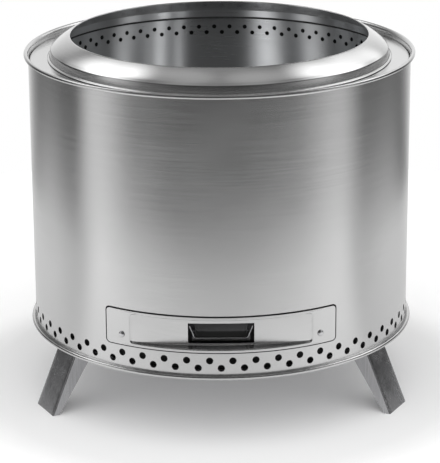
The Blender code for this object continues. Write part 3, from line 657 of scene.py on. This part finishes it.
def make_drawer_front():
    """A curved sheet whose recess goes down over one bend and out to the panel over another."""
    across, up, corner = 84, 10, 5
    loops = []

    def loop(place, half, low, high, radius, bend=0.0):
        points = rounded_rect(half, low, high, radius, across, up, corner)
        row = []
        for p in points:
            surface, panel = shell_y(p.x), panel_y(p.x)
            turn = min(RECESS_BEND, 0.45 * (panel - surface)) * bend
            row.append(Vector((p.x, surface + turn if place == "surface" else panel - turn, p.y)))
        loops.append(row)

    def recess(place, inset, radius, bend=0.0):
        loop(place, RECESS_HALF - inset, RECESS_LOW + inset, RECESS_HIGH - inset, radius, bend)

    loop("surface", FRONT_HALF, FRONT_LOW, FRONT_HIGH, 0.0050)
    loop("surface", FRONT_HALF - 0.0006, FRONT_LOW + 0.0006, FRONT_HIGH - 0.0006, 0.0046)
    recess("surface", -RECESS_BEND - 0.0008, 0.0050)
    for i in range(7):
        angle = math.radians(80.0 * i / 6)
        recess("surface", RECESS_BEND * (math.sin(angle) - 1.0), 0.0044 - 0.0001 * i, 1.0 - math.cos(angle))
    for i in range(7):
        angle = math.radians(80.0 * (1 - i / 6))
        inset = RECESS_SLOPE + RECESS_BEND * (1.0 - math.sin(angle))
        recess("panel", inset, 0.0034 - 0.0001 * i, 1.0 - math.cos(angle))
    edge = RECESS_SLOPE + RECESS_BEND + 0.0004
    recess("panel", edge, 0.0024)
    first = (RECESS_HALF - edge, RECESS_LOW + edge, RECESS_HIGH - edge)
    last = (PULL_HALF + 0.0006, first[1] + 0.0001, PULL_HIGH + 0.0006)
    for i in range(1, 14):
        t = i / 13
        half, low, high = (a * (1 - t) + b * t for a, b in zip(first, last))
        loop("panel", half, low, high, 0.0024 * (1 - t) + 0.0012 * t)
    loop("panel", PULL_HALF, first[1] + 0.0004, PULL_HIGH, 0.0010)
    bm = lofted(loops, closed=True)
    for face in bm.faces:
        face.normal_update()
    if sum(face.normal.y for face in bm.faces) > 0:
        bmesh.ops.reverse_faces(bm, faces=bm.faces)
    bm = thicken(bm, 0.0012)
    piece = new_piece(
        "drawer_front_skin", bm, SHELL_STEEL, "drawer", ["drawer_front"], sharp=50.0,
    )
    # Painted shade: the cut edges round the drawer front get the near-black steel, as the shadow in the gap
    # round it
    resurface(piece, PAINTED_SHADE_STEEL, on_front_edge)
    # Painted light: the forward-facing flat of the recess gets the lighter copy of the shell steel
    resurface(piece, LIT_PANEL_STEEL, on_panel)


def on_front_edge(face):
    x, z, margin = abs(face.center.x), face.center.z, 0.0002
    return x > FRONT_HALF - margin or not FRONT_LOW + margin < z < FRONT_HIGH - margin


def on_panel(face):
    in_recess = abs(face.center.x) < RECESS_HALF and RECESS_LOW < face.center.z < RECESS_HIGH
    return in_recess and face.normal.y < -0.9


SCOOP_RIM_Y = -0.2698
SCOOP_TOP = BEAD + 0.0795
SCOOP_FLANGE_TOP = BEAD + 0.0840
SCOOP_FLANGE_Y = -0.2662
# Sections of the dish: depth behind its rim, floor, half width at the floor and at the top, top
SCOOP_ROWS = (
    (0.0000, BEAD + 0.0532, 0.0405, 0.0460, BEAD + 0.0723),
    (0.0034, BEAD + 0.0512, 0.0400, 0.0452, BEAD + 0.0735),
    (0.0060, BEAD + 0.0505, 0.0395, 0.0444, SCOOP_TOP),
    (0.0105, BEAD + 0.0522, 0.0385, 0.0432, SCOOP_TOP),
    (0.0145, BEAD + 0.0580, 0.0375, 0.0420, SCOOP_TOP),
)


def scoop_row(depth, floor, half_floor, half_top, top):
    radius = 0.0055
    left = []
    for i in range(4):
        t = i / 4
        left.append(Vector((-half_top * (1 - t) - half_floor * t, top * (1 - t) + (floor + radius) * t)))
    for i in range(9):
        angle = math.radians(180.0 + 90.0 * i / 8)
        x = radius - half_floor + radius * math.cos(angle)
        left.append(Vector((x, floor + radius + radius * math.sin(angle))))
    right = [Vector((-p.x, p.y)) for p in reversed(left)]
    middle = [left[-1].lerp(right[0], i / 6) for i in range(1, 6)]
    return [Vector((p.x, SCOOP_RIM_Y + depth, p.y)) for p in left + middle + right]


def make_pull():
    """The dish is a smooth loft through its sections, and its front edge is rolled."""
    rows = []
    for a, b in zip(SCOOP_ROWS, SCOOP_ROWS[1:]):
        for i in range(4):
            rows.append(tuple(p * (1 - i / 4) + q * (i / 4) for p, q in zip(a, b)))
    rows.append(SCOOP_ROWS[-1])
    sections = [scoop_row(*row) for row in rows]
    bm = lofted(sections)
    bm.verts.ensure_lookup_table()
    count = len(sections[0])
    back = [bm.verts[len(bm.verts) - count + i] for i in range(count)]
    bm.faces.new(back)
    ends = (back[0], back[-1])
    web = [bm.verts.new((end.co.x, SCOOP_FLANGE_Y, SCOOP_TOP)) for end in ends]
    flange = [bm.verts.new((end.co.x, SCOOP_FLANGE_Y, SCOOP_FLANGE_TOP)) for end in ends]
    bm.faces.new((ends[0], ends[1], web[1], web[0]))
    bm.faces.new((web[0], web[1], flange[1], flange[0]))
    bm.verts.index_update()
    bm = thicken(bm, 0.0010)
    dish = new_piece("pull_dish", bm, PULL_STEEL, "drawer", ["pull_scoop"], sharp=60.0)
    # Painted shade: the floor of the dish and the outer side of its ends get the near-black steel
    resurface(dish, PAINTED_SHADE_STEEL, in_dish_shade)
    path = [p + Vector((0.0, -0.0002, 0.0)) for p in sections[0]]
    new_piece("pull_rim", tube(path, 0.0010, 10), PULL_STEEL, "drawer", ())


def in_dish_shade(face):
    """The floor of the dish and the outer side of its ends, which get painted shade."""
    outer_end = face.normal.x * face.center.x > 0 and abs(face.normal.x) > 0.25
    return outer_end or face.normal.z > 0.35


def tube(path, radius, sides):
    """A round bar along a path, with closed ends."""
    rows = []
    for i, p in enumerate(path):
        run = run_at(path, i)
        side = run.cross(Vector((0.0, 1.0, 0.0))).normalized()
        top = side.cross(run)
        row = []
        for j in range(sides):
            angle = 2 * math.pi * j / sides
            row.append(p + side * radius * math.cos(angle) + top * radius * math.sin(angle))
        rows.append(row)
    return lofted(rows, closed=True, caps=True)


TRAY_HALF = 0.1410
TRAY_FRONT = -0.2460
TRAY_REAR = 0.1512
TRAY_LOW = BEAD + 0.0385
TRAY_HIGH = BEAD + 0.0840
TRAY_CORNER = 0.0120
TRAY_FILLET = 0.0030
DISH_SIGHT = 0.0425
RIVET_AZIMUTH = 30.1
RIVET_Z = BEAD + 0.053
TAB_R = 0.2881
TAB_SHEET = 0.0014
TAB_HEIGHT = 0.018
TAB_LENGTH = 0.0230
TAB_OFFSET = 0.0035
LUG_X = 0.1386
LUG_Y = -0.2449
LUG_LENGTH = 0.0138


def make_ash_tray():
    """A folded pan with round corners; each front corner has a lug with a tab for the rivet."""
    middle = (TRAY_FRONT + TRAY_REAR) / 2
    half_length = (TRAY_REAR - TRAY_FRONT) / 2
    loops = []

    def ring(inset, height):
        radius = TRAY_CORNER - inset
        points = rounded_rect(TRAY_HALF - inset, -half_length + inset, half_length - inset, radius, 4, 4, 8)
        loops.append([Vector((p.x, middle + p.y, height)) for p in points])

    ring(0.0, TRAY_HIGH)
    ring(0.0, TRAY_HIGH - 0.0006)
    ring(0.0, TRAY_LOW + TRAY_FILLET + 0.0006)
    for i in range(7):
        angle = math.radians(90.0 * i / 6)
        ring(TRAY_FILLET * (1 - math.cos(angle)), TRAY_LOW + TRAY_FILLET * (1 - math.sin(angle)))
    ring(TRAY_FILLET + 0.0006, TRAY_LOW)
    bm = lofted(loops, closed=True)
    bm.verts.ensure_lookup_table()
    count = len(loops[0])
    bm.faces.new([bm.verts[len(bm.verts) - count + i] for i in range(count)])
    bmesh.ops.recalc_face_normals(bm, faces=bm.faces)
    downward = sum(f.normal.z * f.calc_area() for f in bm.faces if abs(f.normal.z) > 0.9)
    if downward > 0:
        bmesh.ops.reverse_faces(bm, faces=bm.faces)
    bm = thicken(bm, SHEET)
    for side in (-1, 1):
        box_into(bm, (side * LUG_X, LUG_Y, RIVET_Z), (TAB_SHEET, LUG_LENGTH, TAB_HEIGHT))
        azimuth = RIVET_AZIMUTH * side
        matrix = upright(azimuth, radial(azimuth) * (TAB_R - TAB_SHEET / 2) + Vector((0, 0, RIVET_Z)))
        tab = matrix @ Vector((0.0, 0.0, -side * TAB_OFFSET))
        box_into(bm, tab, (TAB_SHEET, TAB_HEIGHT, TAB_LENGTH), matrix.to_3x3())
    for side in (-DISH_SIGHT, DISH_SIGHT):
        everything = bm.verts[:] + bm.edges[:] + bm.faces[:]
        bmesh.ops.bisect_plane(bm, geom=everything, plane_co=(side, 0.0, 0.0), plane_no=(1.0, 0.0, 0.0))
    pan = new_piece("ash_tray_pan", bm, FRAME_STEEL, "drawer", ["ash_tray"])
    # Painted shade: the front of the tray beside the pull's dish gets the near-black steel
    resurface(pan, PAINTED_SHADE_STEEL, tray_front_in_painted_shade)


def tray_front_in_painted_shade(face):
    """On the front of the tray, past the ends of the pull's dish; these faces get painted shade."""
    on_front = face.center.y < TRAY_FRONT + 0.003 and face.normal.y < -0.5
    return on_front and abs(face.center.x) > DISH_SIGHT


def box_into(bm, centre, size, turn=None):
    """A small plate with eased edges, added to a mesh."""
    made = bmesh.ops.create_cube(bm, size=1.0)["verts"]
    bmesh.ops.scale(bm, vec=size, verts=made)
    edges = list({edge for vert in made for edge in vert.link_edges})
    eased = bmesh.ops.bevel(bm, geom=edges, offset=0.0003, segments=2, affect="EDGES", profile=0.5)
    verts = list({vert for face in eased["faces"] for vert in face.verts})
    linked = set(verts)
    frontier = list(verts)
    while frontier:
        vert = frontier.pop()
        for edge in vert.link_edges:
            other = edge.other_vert(vert)
            if other not in linked:
                linked.add(other)
                frontier.append(other)
    matrix = Matrix.Translation(centre)
    if turn is not None:
        matrix = matrix @ turn.to_4x4()
    bmesh.ops.transform(bm, matrix=matrix, verts=list(linked))


def bar_of_revolution(outline, sides, matrix):
    bm = turned(outline, sides)
    bmesh.ops.transform(bm, matrix=matrix, verts=bm.verts)
    return bm


RIVET_HEAD_R = 0.0046
RIVET_HEAD_H = 0.0021
RIVET_SHANK_R = 0.0022
RIVET_TAIL_R = 0.0036
RIVET_TAIL_H = 0.0015


def quarter_dome(radius, base, height, steps):
    """Outline points (radius, height) from the crown of a dome to its edge; the crown is on the axis."""
    points = []
    for i in range(steps + 1):
        angle = math.radians(90.0 - 90.0 * i / steps)
        points.append((radius * math.cos(angle), base + height * math.sin(angle)))
    points[0] = (0.0, points[0][1])
    return points


def make_drawer_rivets():
    tail = TAB_R - TAB_SHEET - GAP - SHELL_R
    outline = quarter_dome(RIVET_HEAD_R, 0.0004, RIVET_HEAD_H, 7) + [
        (RIVET_HEAD_R, 0.0002),
        (RIVET_SHANK_R, 0.0002),
        (RIVET_SHANK_R, tail),
        (RIVET_TAIL_R, tail),
        (RIVET_TAIL_R, tail - RIVET_TAIL_H),
        (0.0, tail - RIVET_TAIL_H),
    ]
    for side, word in ((-1, "left"), (1, "right")):
        azimuth = RIVET_AZIMUTH * side
        place = radial(azimuth) * SHELL_R
        place.z = RIVET_Z
        bm = bar_of_revolution(outline, 32, pointing(radial(azimuth), place))
        name = "drawer_rivet_" + word
        new_piece(name + "_head", bm, FASTENER_STEEL, "drawer", [name])


# Legs

LEG_SPLAY = math.radians(23.25)
LEG_FOOT_R = 0.3060
LEG_WIDTH = 0.0605
LEG_SHEET = 0.0020
LEG_BEND = 0.0025
LEG_FOOT_DEPTH = 0.0105
LEG_TAPER = 0.1560
PIVOT_DEPTH = 0.0160
PIVOT_Z = BEAD - 0.0203
PIN_R = 0.0040
PIN_HEAD_R = 0.0065
# Up the leg from its pivot: the end of the taper, the broad part round the pin, and the top
HEEL_UP = -0.0020
EAR_UP = 0.0090
EAR_DEPTH = 0.0240
LEG_TOP_Z = 0.1105
LEG_TOP_DEPTH = 0.0080
LEGS = (("left", -62.0), ("right", 62.0), ("rear", 180.0))


def pivot_radius():
    level = PIVOT_Z + PIVOT_DEPTH * math.sin(LEG_SPLAY)
    return LEG_FOOT_R - level * math.tan(LEG_SPLAY) - PIVOT_DEPTH * math.cos(LEG_SPLAY)


def on_leg(up, depth):
    sine, cosine = math.sin(LEG_SPLAY), math.cos(LEG_SPLAY)
    behind = depth - PIVOT_DEPTH
    return Vector((-up * sine - behind * cosine, up * cosine - behind * sine))


def leg_stations():
    """Front and back edge of the leg at stations from its foot to its top, relative to the pivot."""
    cosine = math.cos(LEG_SPLAY)
    level = PIVOT_Z + PIVOT_DEPTH * math.sin(LEG_SPLAY)
    foot_up = -level / cosine
    heel_depth = LEG_FOOT_DEPTH + (HEEL_UP - foot_up) * LEG_TAPER
    top_up = (LEG_TOP_Z - level) / cosine
    foot_r = LEG_FOOT_R - pivot_radius()
    foot = (Vector((foot_r, -PIVOT_Z)), Vector((foot_r - LEG_FOOT_DEPTH, -PIVOT_Z)))
    heel = (on_leg(HEEL_UP, 0.0), on_leg(HEEL_UP, heel_depth))
    ear = (on_leg(EAR_UP, 0.0), on_leg(EAR_UP, EAR_DEPTH))
    top = (on_leg(top_up, 0.0), on_leg(top_up, LEG_TOP_DEPTH))
    stations = []
    for (a, b), count in (((foot, heel), 12), ((heel, ear), 3), ((ear, top), 4)):
        for i in range(count):
            t = i / count
            stations.append((a[0].lerp(b[0], t), a[1].lerp(b[1], t)))
    stations.append(top)
    return stations


def leg_section(front, back):
    """The channel's outer face, from the edge of one flange round the web to the other's."""
    depth = (back - front).length
    run = (back - front) / depth
    half = LEG_WIDTH / 2
    flat = []
    for i in range(5):
        flat.append((half, depth + (LEG_BEND - depth) * i / 4))
    for i in range(1, 7):
        angle = math.radians(90.0 * i / 6)
        flat.append((half - LEG_BEND + LEG_BEND * math.cos(angle), LEG_BEND - LEG_BEND * math.sin(angle)))
    for i in range(1, 8):
        flat.append((half - LEG_BEND - 2 * (half - LEG_BEND) * i / 8, 0.0))
    other = [(-w, q) for w, q in reversed(flat[:11])]
    row = []
    for w, q in flat + other:
        p = front + run * q
        row.append(Vector((p.x, p.y, w)))
    return row


def make_leg(word, azimuth):
    place = radial(azimuth) * pivot_radius()
    place.z = PIVOT_Z
    matrix = upright(azimuth, place)
    bm = lofted([leg_section(*station) for station in leg_stations()])
    for face in bm.faces:
        face.normal_update()
    web = [f for f in bm.faces if abs(f.calc_center_median().z) < LEG_WIDTH / 4]
    if sum(f.normal.x for f in web) < 0:
        bmesh.ops.reverse_faces(bm, faces=bm.faces)
    bm = thicken(bm, LEG_SHEET)
    foot_r = LEG_FOOT_R - pivot_radius()
    sole = Vector((foot_r - LEG_FOOT_DEPTH / 2 - 0.0006, -PIVOT_Z + 0.0011, 0.0))
    box_into(bm, sole, (LEG_FOOT_DEPTH - 0.0018, 0.0022, LEG_WIDTH - 2 * LEG_SHEET + 0.0006))
    bmesh.ops.transform(bm, matrix=matrix, verts=bm.verts)
    new_piece("leg_%s_channel" % word, bm, LEG_STEEL, word + "_leg", ["leg_" + word], sharp=50.0)
    half = LEG_WIDTH / 2 + GAP
    end = quarter_dome(PIN_HEAD_R, half + 0.0006, 0.0014, 5) + [(PIN_HEAD_R, half), (PIN_R, half)]
    pin = bar_of_revolution(end + [(r, -z) for r, z in reversed(end)], 32, matrix)
    name = "hinge_pin_" + word
    new_piece(name + "_shank", pin, FASTENER_STEEL, "root", [name])


def dress_cad_nodes():
    """CAD nodes that stay as they are get the steel of their kind."""
    for name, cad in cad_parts.items():
        if cad.hide_render:
            continue
        material = FASTENER_STEEL if "rivet" in name else FRAME_STEEL
        cad.data.materials.clear()
        cad.data.materials.append(material)


# Studio. A softbox is (azimuth, reach towards the front, reach towards the rear, elevation, half height,
# soft edge, strength), with its angles in degrees as seen from the object. A gleam is (azimuth, reach
# towards the front, reach towards the rear, strength)

SOFTBOXES = (
    (-76.0, 30.0, 15.0, 2.0, 24.0, 14.0, 0.52),
    (-72.0, 54.0, 30.0, 2.0, 24.0, 14.0, 0.18),
    (72.0, 32.0, 18.0, 2.0, 24.0, 14.0, 0.36),
    (68.0, 58.0, 36.0, 2.0, 24.0, 14.0, 0.17),
    (-120.0, 34.0, 60.0, -12.0, 6.0, 8.0, 0.14),
    (120.0, 34.0, 60.0, -12.0, 6.0, 8.0, 0.12),
    (-110.0, 24.0, 42.0, 50.0, 7.0, 14.0, 2.4),
    (-134.0, 18.0, 9.0, 39.0, 8.0, 10.0, 0.65),
    (116.0, 34.0, 30.0, 46.0, 10.0, 14.0, 2.4),
    (142.0, 16.0, 11.0, 33.0, 10.0, 10.0, 1.1),
    (-150.0, 24.0, 60.0, 14.0, 14.0, 8.0, 0.12),
    (146.0, 20.0, 60.0, 14.0, 14.0, 8.0, 0.25),
)
FLOOR_GLEAMS = (
    (-65.0, 58.0, 16.0, 0.50),
    (65.0, 66.0, 15.0, 0.48),
    (-106.0, 32.0, 38.0, 0.15),
    (104.0, 30.0, 32.0, 0.13),
)
FAR_GLEAMS = (
    (-65.0, 50.0, 25.0, 0.20),
    (65.0, 55.0, 40.0, 0.20),
    (-111.0, 31.0, 47.0, 0.39),
    (104.0, 29.0, 37.0, 0.35),
)
CARD_R = 0.262
CARD_LEVELS = (0.17, 0.40)
CHAMBER_GLEAMS = (
    (42.0, 7.0, 7.0, 1.9),
    (62.0, 9.0, 9.0, 3.3),
    (75.0, 6.0, 6.0, 0.9),
    (104.0, 16.0, 18.0, 1.4),
    (-50.0, 25.0, 23.0, 2.7),
    (-98.0, 15.0, 26.0, 1.7),
)
WALL_GLOW = 0.015
LOW_GLOW = 0.055
CEILING_GLOW = 0.27
REAR_GLOW = 0.85
CHAMBER_GLOW = 0.06
FLOOR_GLOW = 0.07
NEAR_FLOOR_GLOW = 0.12
FLOOR_EDGE_GLOW = 0.17
FLOOR_R = 1.22
STUDIO_R = 4.2
STUDIO_PROFILE = ((FLOOR_R, -0.004), (STUDIO_R, -0.004), (STUDIO_R, 0.8), (3.9, 1.9), (3.0, 3.2), (0.01, 3.6))
EYE_LEVEL = 0.30
DEGREES = 57.2958


def step(tree, source, start, end):
    """A smooth step from 0 at the start to 1 at the end."""
    made = node(tree, "ShaderNodeMapRange", interpolation_type="SMOOTHSTEP")
    made.inputs["From Min"].default_value = start
    made.inputs["From Max"].default_value = end
    tree.links.new(source, made.inputs["Value"])
    return made.outputs[0]


def studio_angles(tree):
    """Azimuth and elevation in degrees and distance from the axis, of a place in the studio."""
    split = node(tree, "ShaderNodeSeparateXYZ")
    tree.links.new(node(tree, "ShaderNodeTexCoord").outputs["Object"], split.inputs[0])
    x, y, z = split.outputs
    azimuth = maths(tree, "MULTIPLY", maths(tree, "ARCTAN2", x, maths(tree, "MULTIPLY", y, -1.0)), DEGREES)
    squares = maths(tree, "ADD", maths(tree, "MULTIPLY", x, x), maths(tree, "MULTIPLY", y, y))
    away = maths(tree, "SQRT", squares)
    rise = maths(tree, "ARCTAN2", maths(tree, "SUBTRACT", z, EYE_LEVEL), away)
    return azimuth, maths(tree, "MULTIPLY", rise, DEGREES), away


def across(tree, azimuth, centre, front_reach, rear_reach):
    """1 at the centre azimuth, falling to 0 over one reach towards the front and one towards the rear."""
    side = -1.0 if centre < 0 else 1.0
    inward = maths(tree, "SUBTRACT", abs(centre), maths(tree, "MULTIPLY", azimuth, side))
    return maths(tree, "MULTIPLY", step(tree, inward, front_reach, 0.0), step(tree, inward, -rear_reach, 0.0))


def gleams(tree, azimuth, table):
    """The sum of a table of gleams at an azimuth."""
    total = 0.0
    for centre, front_reach, rear_reach, strength in table:
        part = across(tree, azimuth, centre, front_reach, rear_reach)
        total = maths(tree, "MULTIPLY_ADD", part, strength, total)
    return total


def empty_material(name):
    """A material that isn't sampled as a lamp, its node tree and its output node."""
    material = bpy.data.materials.new(name)
    material.use_nodes = True
    material.cycles.emission_sampling = "NONE"
    tree = material.node_tree
    tree.nodes.clear()
    return material, tree, node(tree, "ShaderNodeOutputMaterial")


def glow_material(name, build, from_axis_only=False):
    """Emission whose strength the build function works out; it lights nothing but reflections."""
    material, tree, out = empty_material(name)
    glow = node(tree, "ShaderNodeEmission")
    tree.links.new(build(tree), glow.inputs["Strength"])
    shader = open_outwards(tree, glow) if from_axis_only else glow
    tree.links.new(shader.outputs[0], out.inputs["Surface"])
    return material


def open_outwards(tree, glow):
    """The glow for rays that come from the axis; rays from outside pass through."""
    surface = node(tree, "ShaderNodeNewGeometry").outputs
    facing = node(tree, "ShaderNodeVectorMath", operation="DOT_PRODUCT")
    tree.links.new(surface["True Normal"], facing.inputs[0])
    tree.links.new(surface["Position"], facing.inputs[1])
    mix = node(tree, "ShaderNodeMixShader")
    tree.links.new(maths(tree, "GREATER_THAN", facing.outputs["Value"], 0.0), mix.inputs[0])
    tree.links.new(glow.outputs[0], mix.inputs[1])
    tree.links.new(node(tree, "ShaderNodeBsdfTransparent").outputs[0], mix.inputs[2])
    return mix


def studio_glow(tree):
    """Dark walls, a grey ceiling, softboxes, and an open bright rear that fades in from both sides."""
    azimuth, rise, away = studio_angles(tree)
    total = maths(tree, "MULTIPLY_ADD", step(tree, rise, 10.0, -4.0), LOW_GLOW, WALL_GLOW)
    total = maths(tree, "MULTIPLY_ADD", step(tree, rise, 58.0, 80.0), CEILING_GLOW, total)
    total = maths(tree, "MULTIPLY_ADD", gleams(tree, azimuth, FAR_GLEAMS), step(tree, away, 2.2, 1.3), total)
    rear = step(tree, maths(tree, "ABSOLUTE", azimuth), 126.0, 170.0)
    rear = maths(tree, "MULTIPLY", rear, step(tree, rise, 46.0, 24.0))
    total = maths(tree, "MULTIPLY_ADD", rear, REAR_GLOW, total)
    for centre, front_reach, rear_reach, level, half, soft, strength in SOFTBOXES:
        part = across(tree, azimuth, centre, front_reach, rear_reach)
        height = maths(tree, "ABSOLUTE", maths(tree, "SUBTRACT", rise, level))
        part = maths(tree, "MULTIPLY", part, step(tree, height, half + soft, half))
        total = maths(tree, "MULTIPLY_ADD", part, strength, total)
    return total


def chamber_glow(tree):
    """Streaks for the inner wall to mirror."""
    azimuth = studio_angles(tree)[0]
    return maths(tree, "ADD", gleams(tree, azimuth, CHAMBER_GLEAMS), CHAMBER_GLOW)


def only_in_gloss(thing):
    """Only reflections see it."""
    thing.visible_camera = False
    thing.visible_diffuse = False
    thing.visible_transmission = False
    thing.visible_shadow = False


def studio_ring(radius, height):
    return [radial(3.0 * i) * radius + Vector((0.0, 0.0, height)) for i in range(120)]


def studio_object(name, bm, material):
    """An object of the stage, which isn't part of the model."""
    mesh = bpy.data.meshes.new(name)
    bm.to_mesh(mesh)
    bm.free()
    thing = bpy.data.objects.new(name, mesh)
    bpy.context.scene.collection.objects.link(thing)
    mesh.materials.append(material)
    return thing


def make_studio():
    """White surroundings, a pale floor, and the walls and the card in the chamber that reflections see."""
    make_world()
    disc = bmesh.new()
    bmesh.ops.create_circle(disc, cap_ends=True, segments=96, radius=FLOOR_R)
    studio_object("floor", disc, floor_material())
    walls = lofted([studio_ring(r, z) for r, z in STUDIO_PROFILE], closed=True)
    only_in_gloss(studio_object("studio_walls", walls, glow_material("studio_glow", studio_glow)))
    card = lofted([studio_ring(CARD_R, z) for z in CARD_LEVELS], closed=True)
    streaks = glow_material("chamber_glow", chamber_glow, from_axis_only=True)
    only_in_gloss(studio_object("chamber_card", card, streaks))


def make_world():
    """White to the camera and to reflections; the soft light on the floor comes more from the front."""
    world = bpy.data.worlds.new("surroundings")
    bpy.context.scene.world = world
    world.use_nodes = True
    tree = world.node_tree
    tree.nodes.clear()
    out = node(tree, "ShaderNodeOutputWorld")
    white = node(tree, "ShaderNodeBackground", Color=(1.0, 1.0, 1.0, 1.0))
    soft = node(tree, "ShaderNodeBackground", Color=(1.0, 1.0, 1.0, 1.0))
    split = node(tree, "ShaderNodeSeparateXYZ")
    tree.links.new(node(tree, "ShaderNodeTexCoord").outputs["Generated"], split.inputs[0])
    tree.links.new(maths(tree, "MULTIPLY_ADD", split.outputs[1], -0.8, 1.0), soft.inputs["Strength"])
    mix = node(tree, "ShaderNodeMixShader")
    tree.links.new(seen_directly(tree), mix.inputs[0])
    tree.links.new(soft.outputs[0], mix.inputs[1])
    tree.links.new(white.outputs[0], mix.inputs[2])
    tree.links.new(mix.outputs[0], out.inputs["Surface"])


def seen_directly(tree):
    """1 for rays from the camera, from gloss and through transparent things."""
    light = node(tree, "ShaderNodeLightPath").outputs
    either = maths(tree, "MAXIMUM", light["Is Camera Ray"], light["Is Glossy Ray"])
    return maths(tree, "MAXIMUM", either, light["Is Transmission Ray"])


def lit_surface(tree, grey, glow_strength):
    """A diffuse grey with a glow added to it."""
    glow = node(tree, "ShaderNodeEmission")
    tree.links.new(glow_strength, glow.inputs["Strength"])
    pale = node(tree, "ShaderNodeBsdfDiffuse", Color=(grey, grey, grey, 1.0))
    lit = node(tree, "ShaderNodeAddShader")
    tree.links.new(pale.outputs[0], lit.inputs[0])
    tree.links.new(glow.outputs[0], lit.inputs[1])
    return lit.outputs[0]


def floor_material():
    """A pale floor that takes the shadow and fades to white; gloss also sees the softboxes' gleam on it."""
    material, tree, out = empty_material("floor")
    azimuth, _, away = studio_angles(tree)
    spread = maths(tree, "MULTIPLY_ADD", step(tree, away, 0.5, 1.25), 0.62, 0.38)
    gleam = maths(tree, "MULTIPLY", gleams(tree, azimuth, FLOOR_GLEAMS), spread)
    near = maths(tree, "MULTIPLY_ADD", step(tree, away, 1.3, 1.0), NEAR_FLOOR_GLOW, FLOOR_GLOW)
    in_gloss = lit_surface(tree, 0.62, maths(tree, "ADD", gleam, near))
    fade = maths(tree, "MULTIPLY", step(tree, away, 0.36, 0.46), FLOOR_EDGE_GLOW)
    to_camera = lit_surface(tree, 0.97, fade)
    dim = node(tree, "ShaderNodeBsdfDiffuse", Color=(0.30, 0.30, 0.30, 1.0))
    light = node(tree, "ShaderNodeLightPath").outputs
    source = dim.outputs[0]
    for ray, surface in (("Is Glossy Ray", in_gloss), ("Is Camera Ray", to_camera)):
        mix = node(tree, "ShaderNodeMixShader")
        tree.links.new(light[ray], mix.inputs[0])
        tree.links.new(source, mix.inputs[1])
        tree.links.new(surface, mix.inputs[2])
        source = mix.outputs[0]
    tree.links.new(source, out.inputs["Surface"])
    return material


def make_camera():
    data = bpy.data.cameras.new("camera")
    data.lens = LENS
    data.sensor_width = 36.0
    data.sensor_fit = "AUTO"
    data.shift_x = CAMERA_SHIFT
    camera = bpy.data.objects.new("camera", data)
    bpy.context.scene.collection.objects.link(camera)
    tilt = Matrix.Rotation(math.radians(90.0 - CAMERA_ELEVATION), 4, "X")
    roll = Matrix.Rotation(math.radians(CAMERA_ROLL), 4, "Z")
    camera.matrix_world = Matrix.Translation(CAMERA_PLACE) @ tilt @ roll
    bpy.context.scene.camera = camera


make_camera()
make_studio()
make_outer_shell()
make_inner_wall()
make_top_deck()
make_base_pan()
make_flame_ring()
make_chamber_floor()
make_fire_grate()
make_drawer_front()
make_pull()
make_ash_tray()
make_drawer_rivets()
for leg_word, leg_azimuth in LEGS:
    make_leg(leg_word, leg_azimuth)
dress_cad_nodes()
bpy.context.scene.view_settings.view_transform = "Standard"
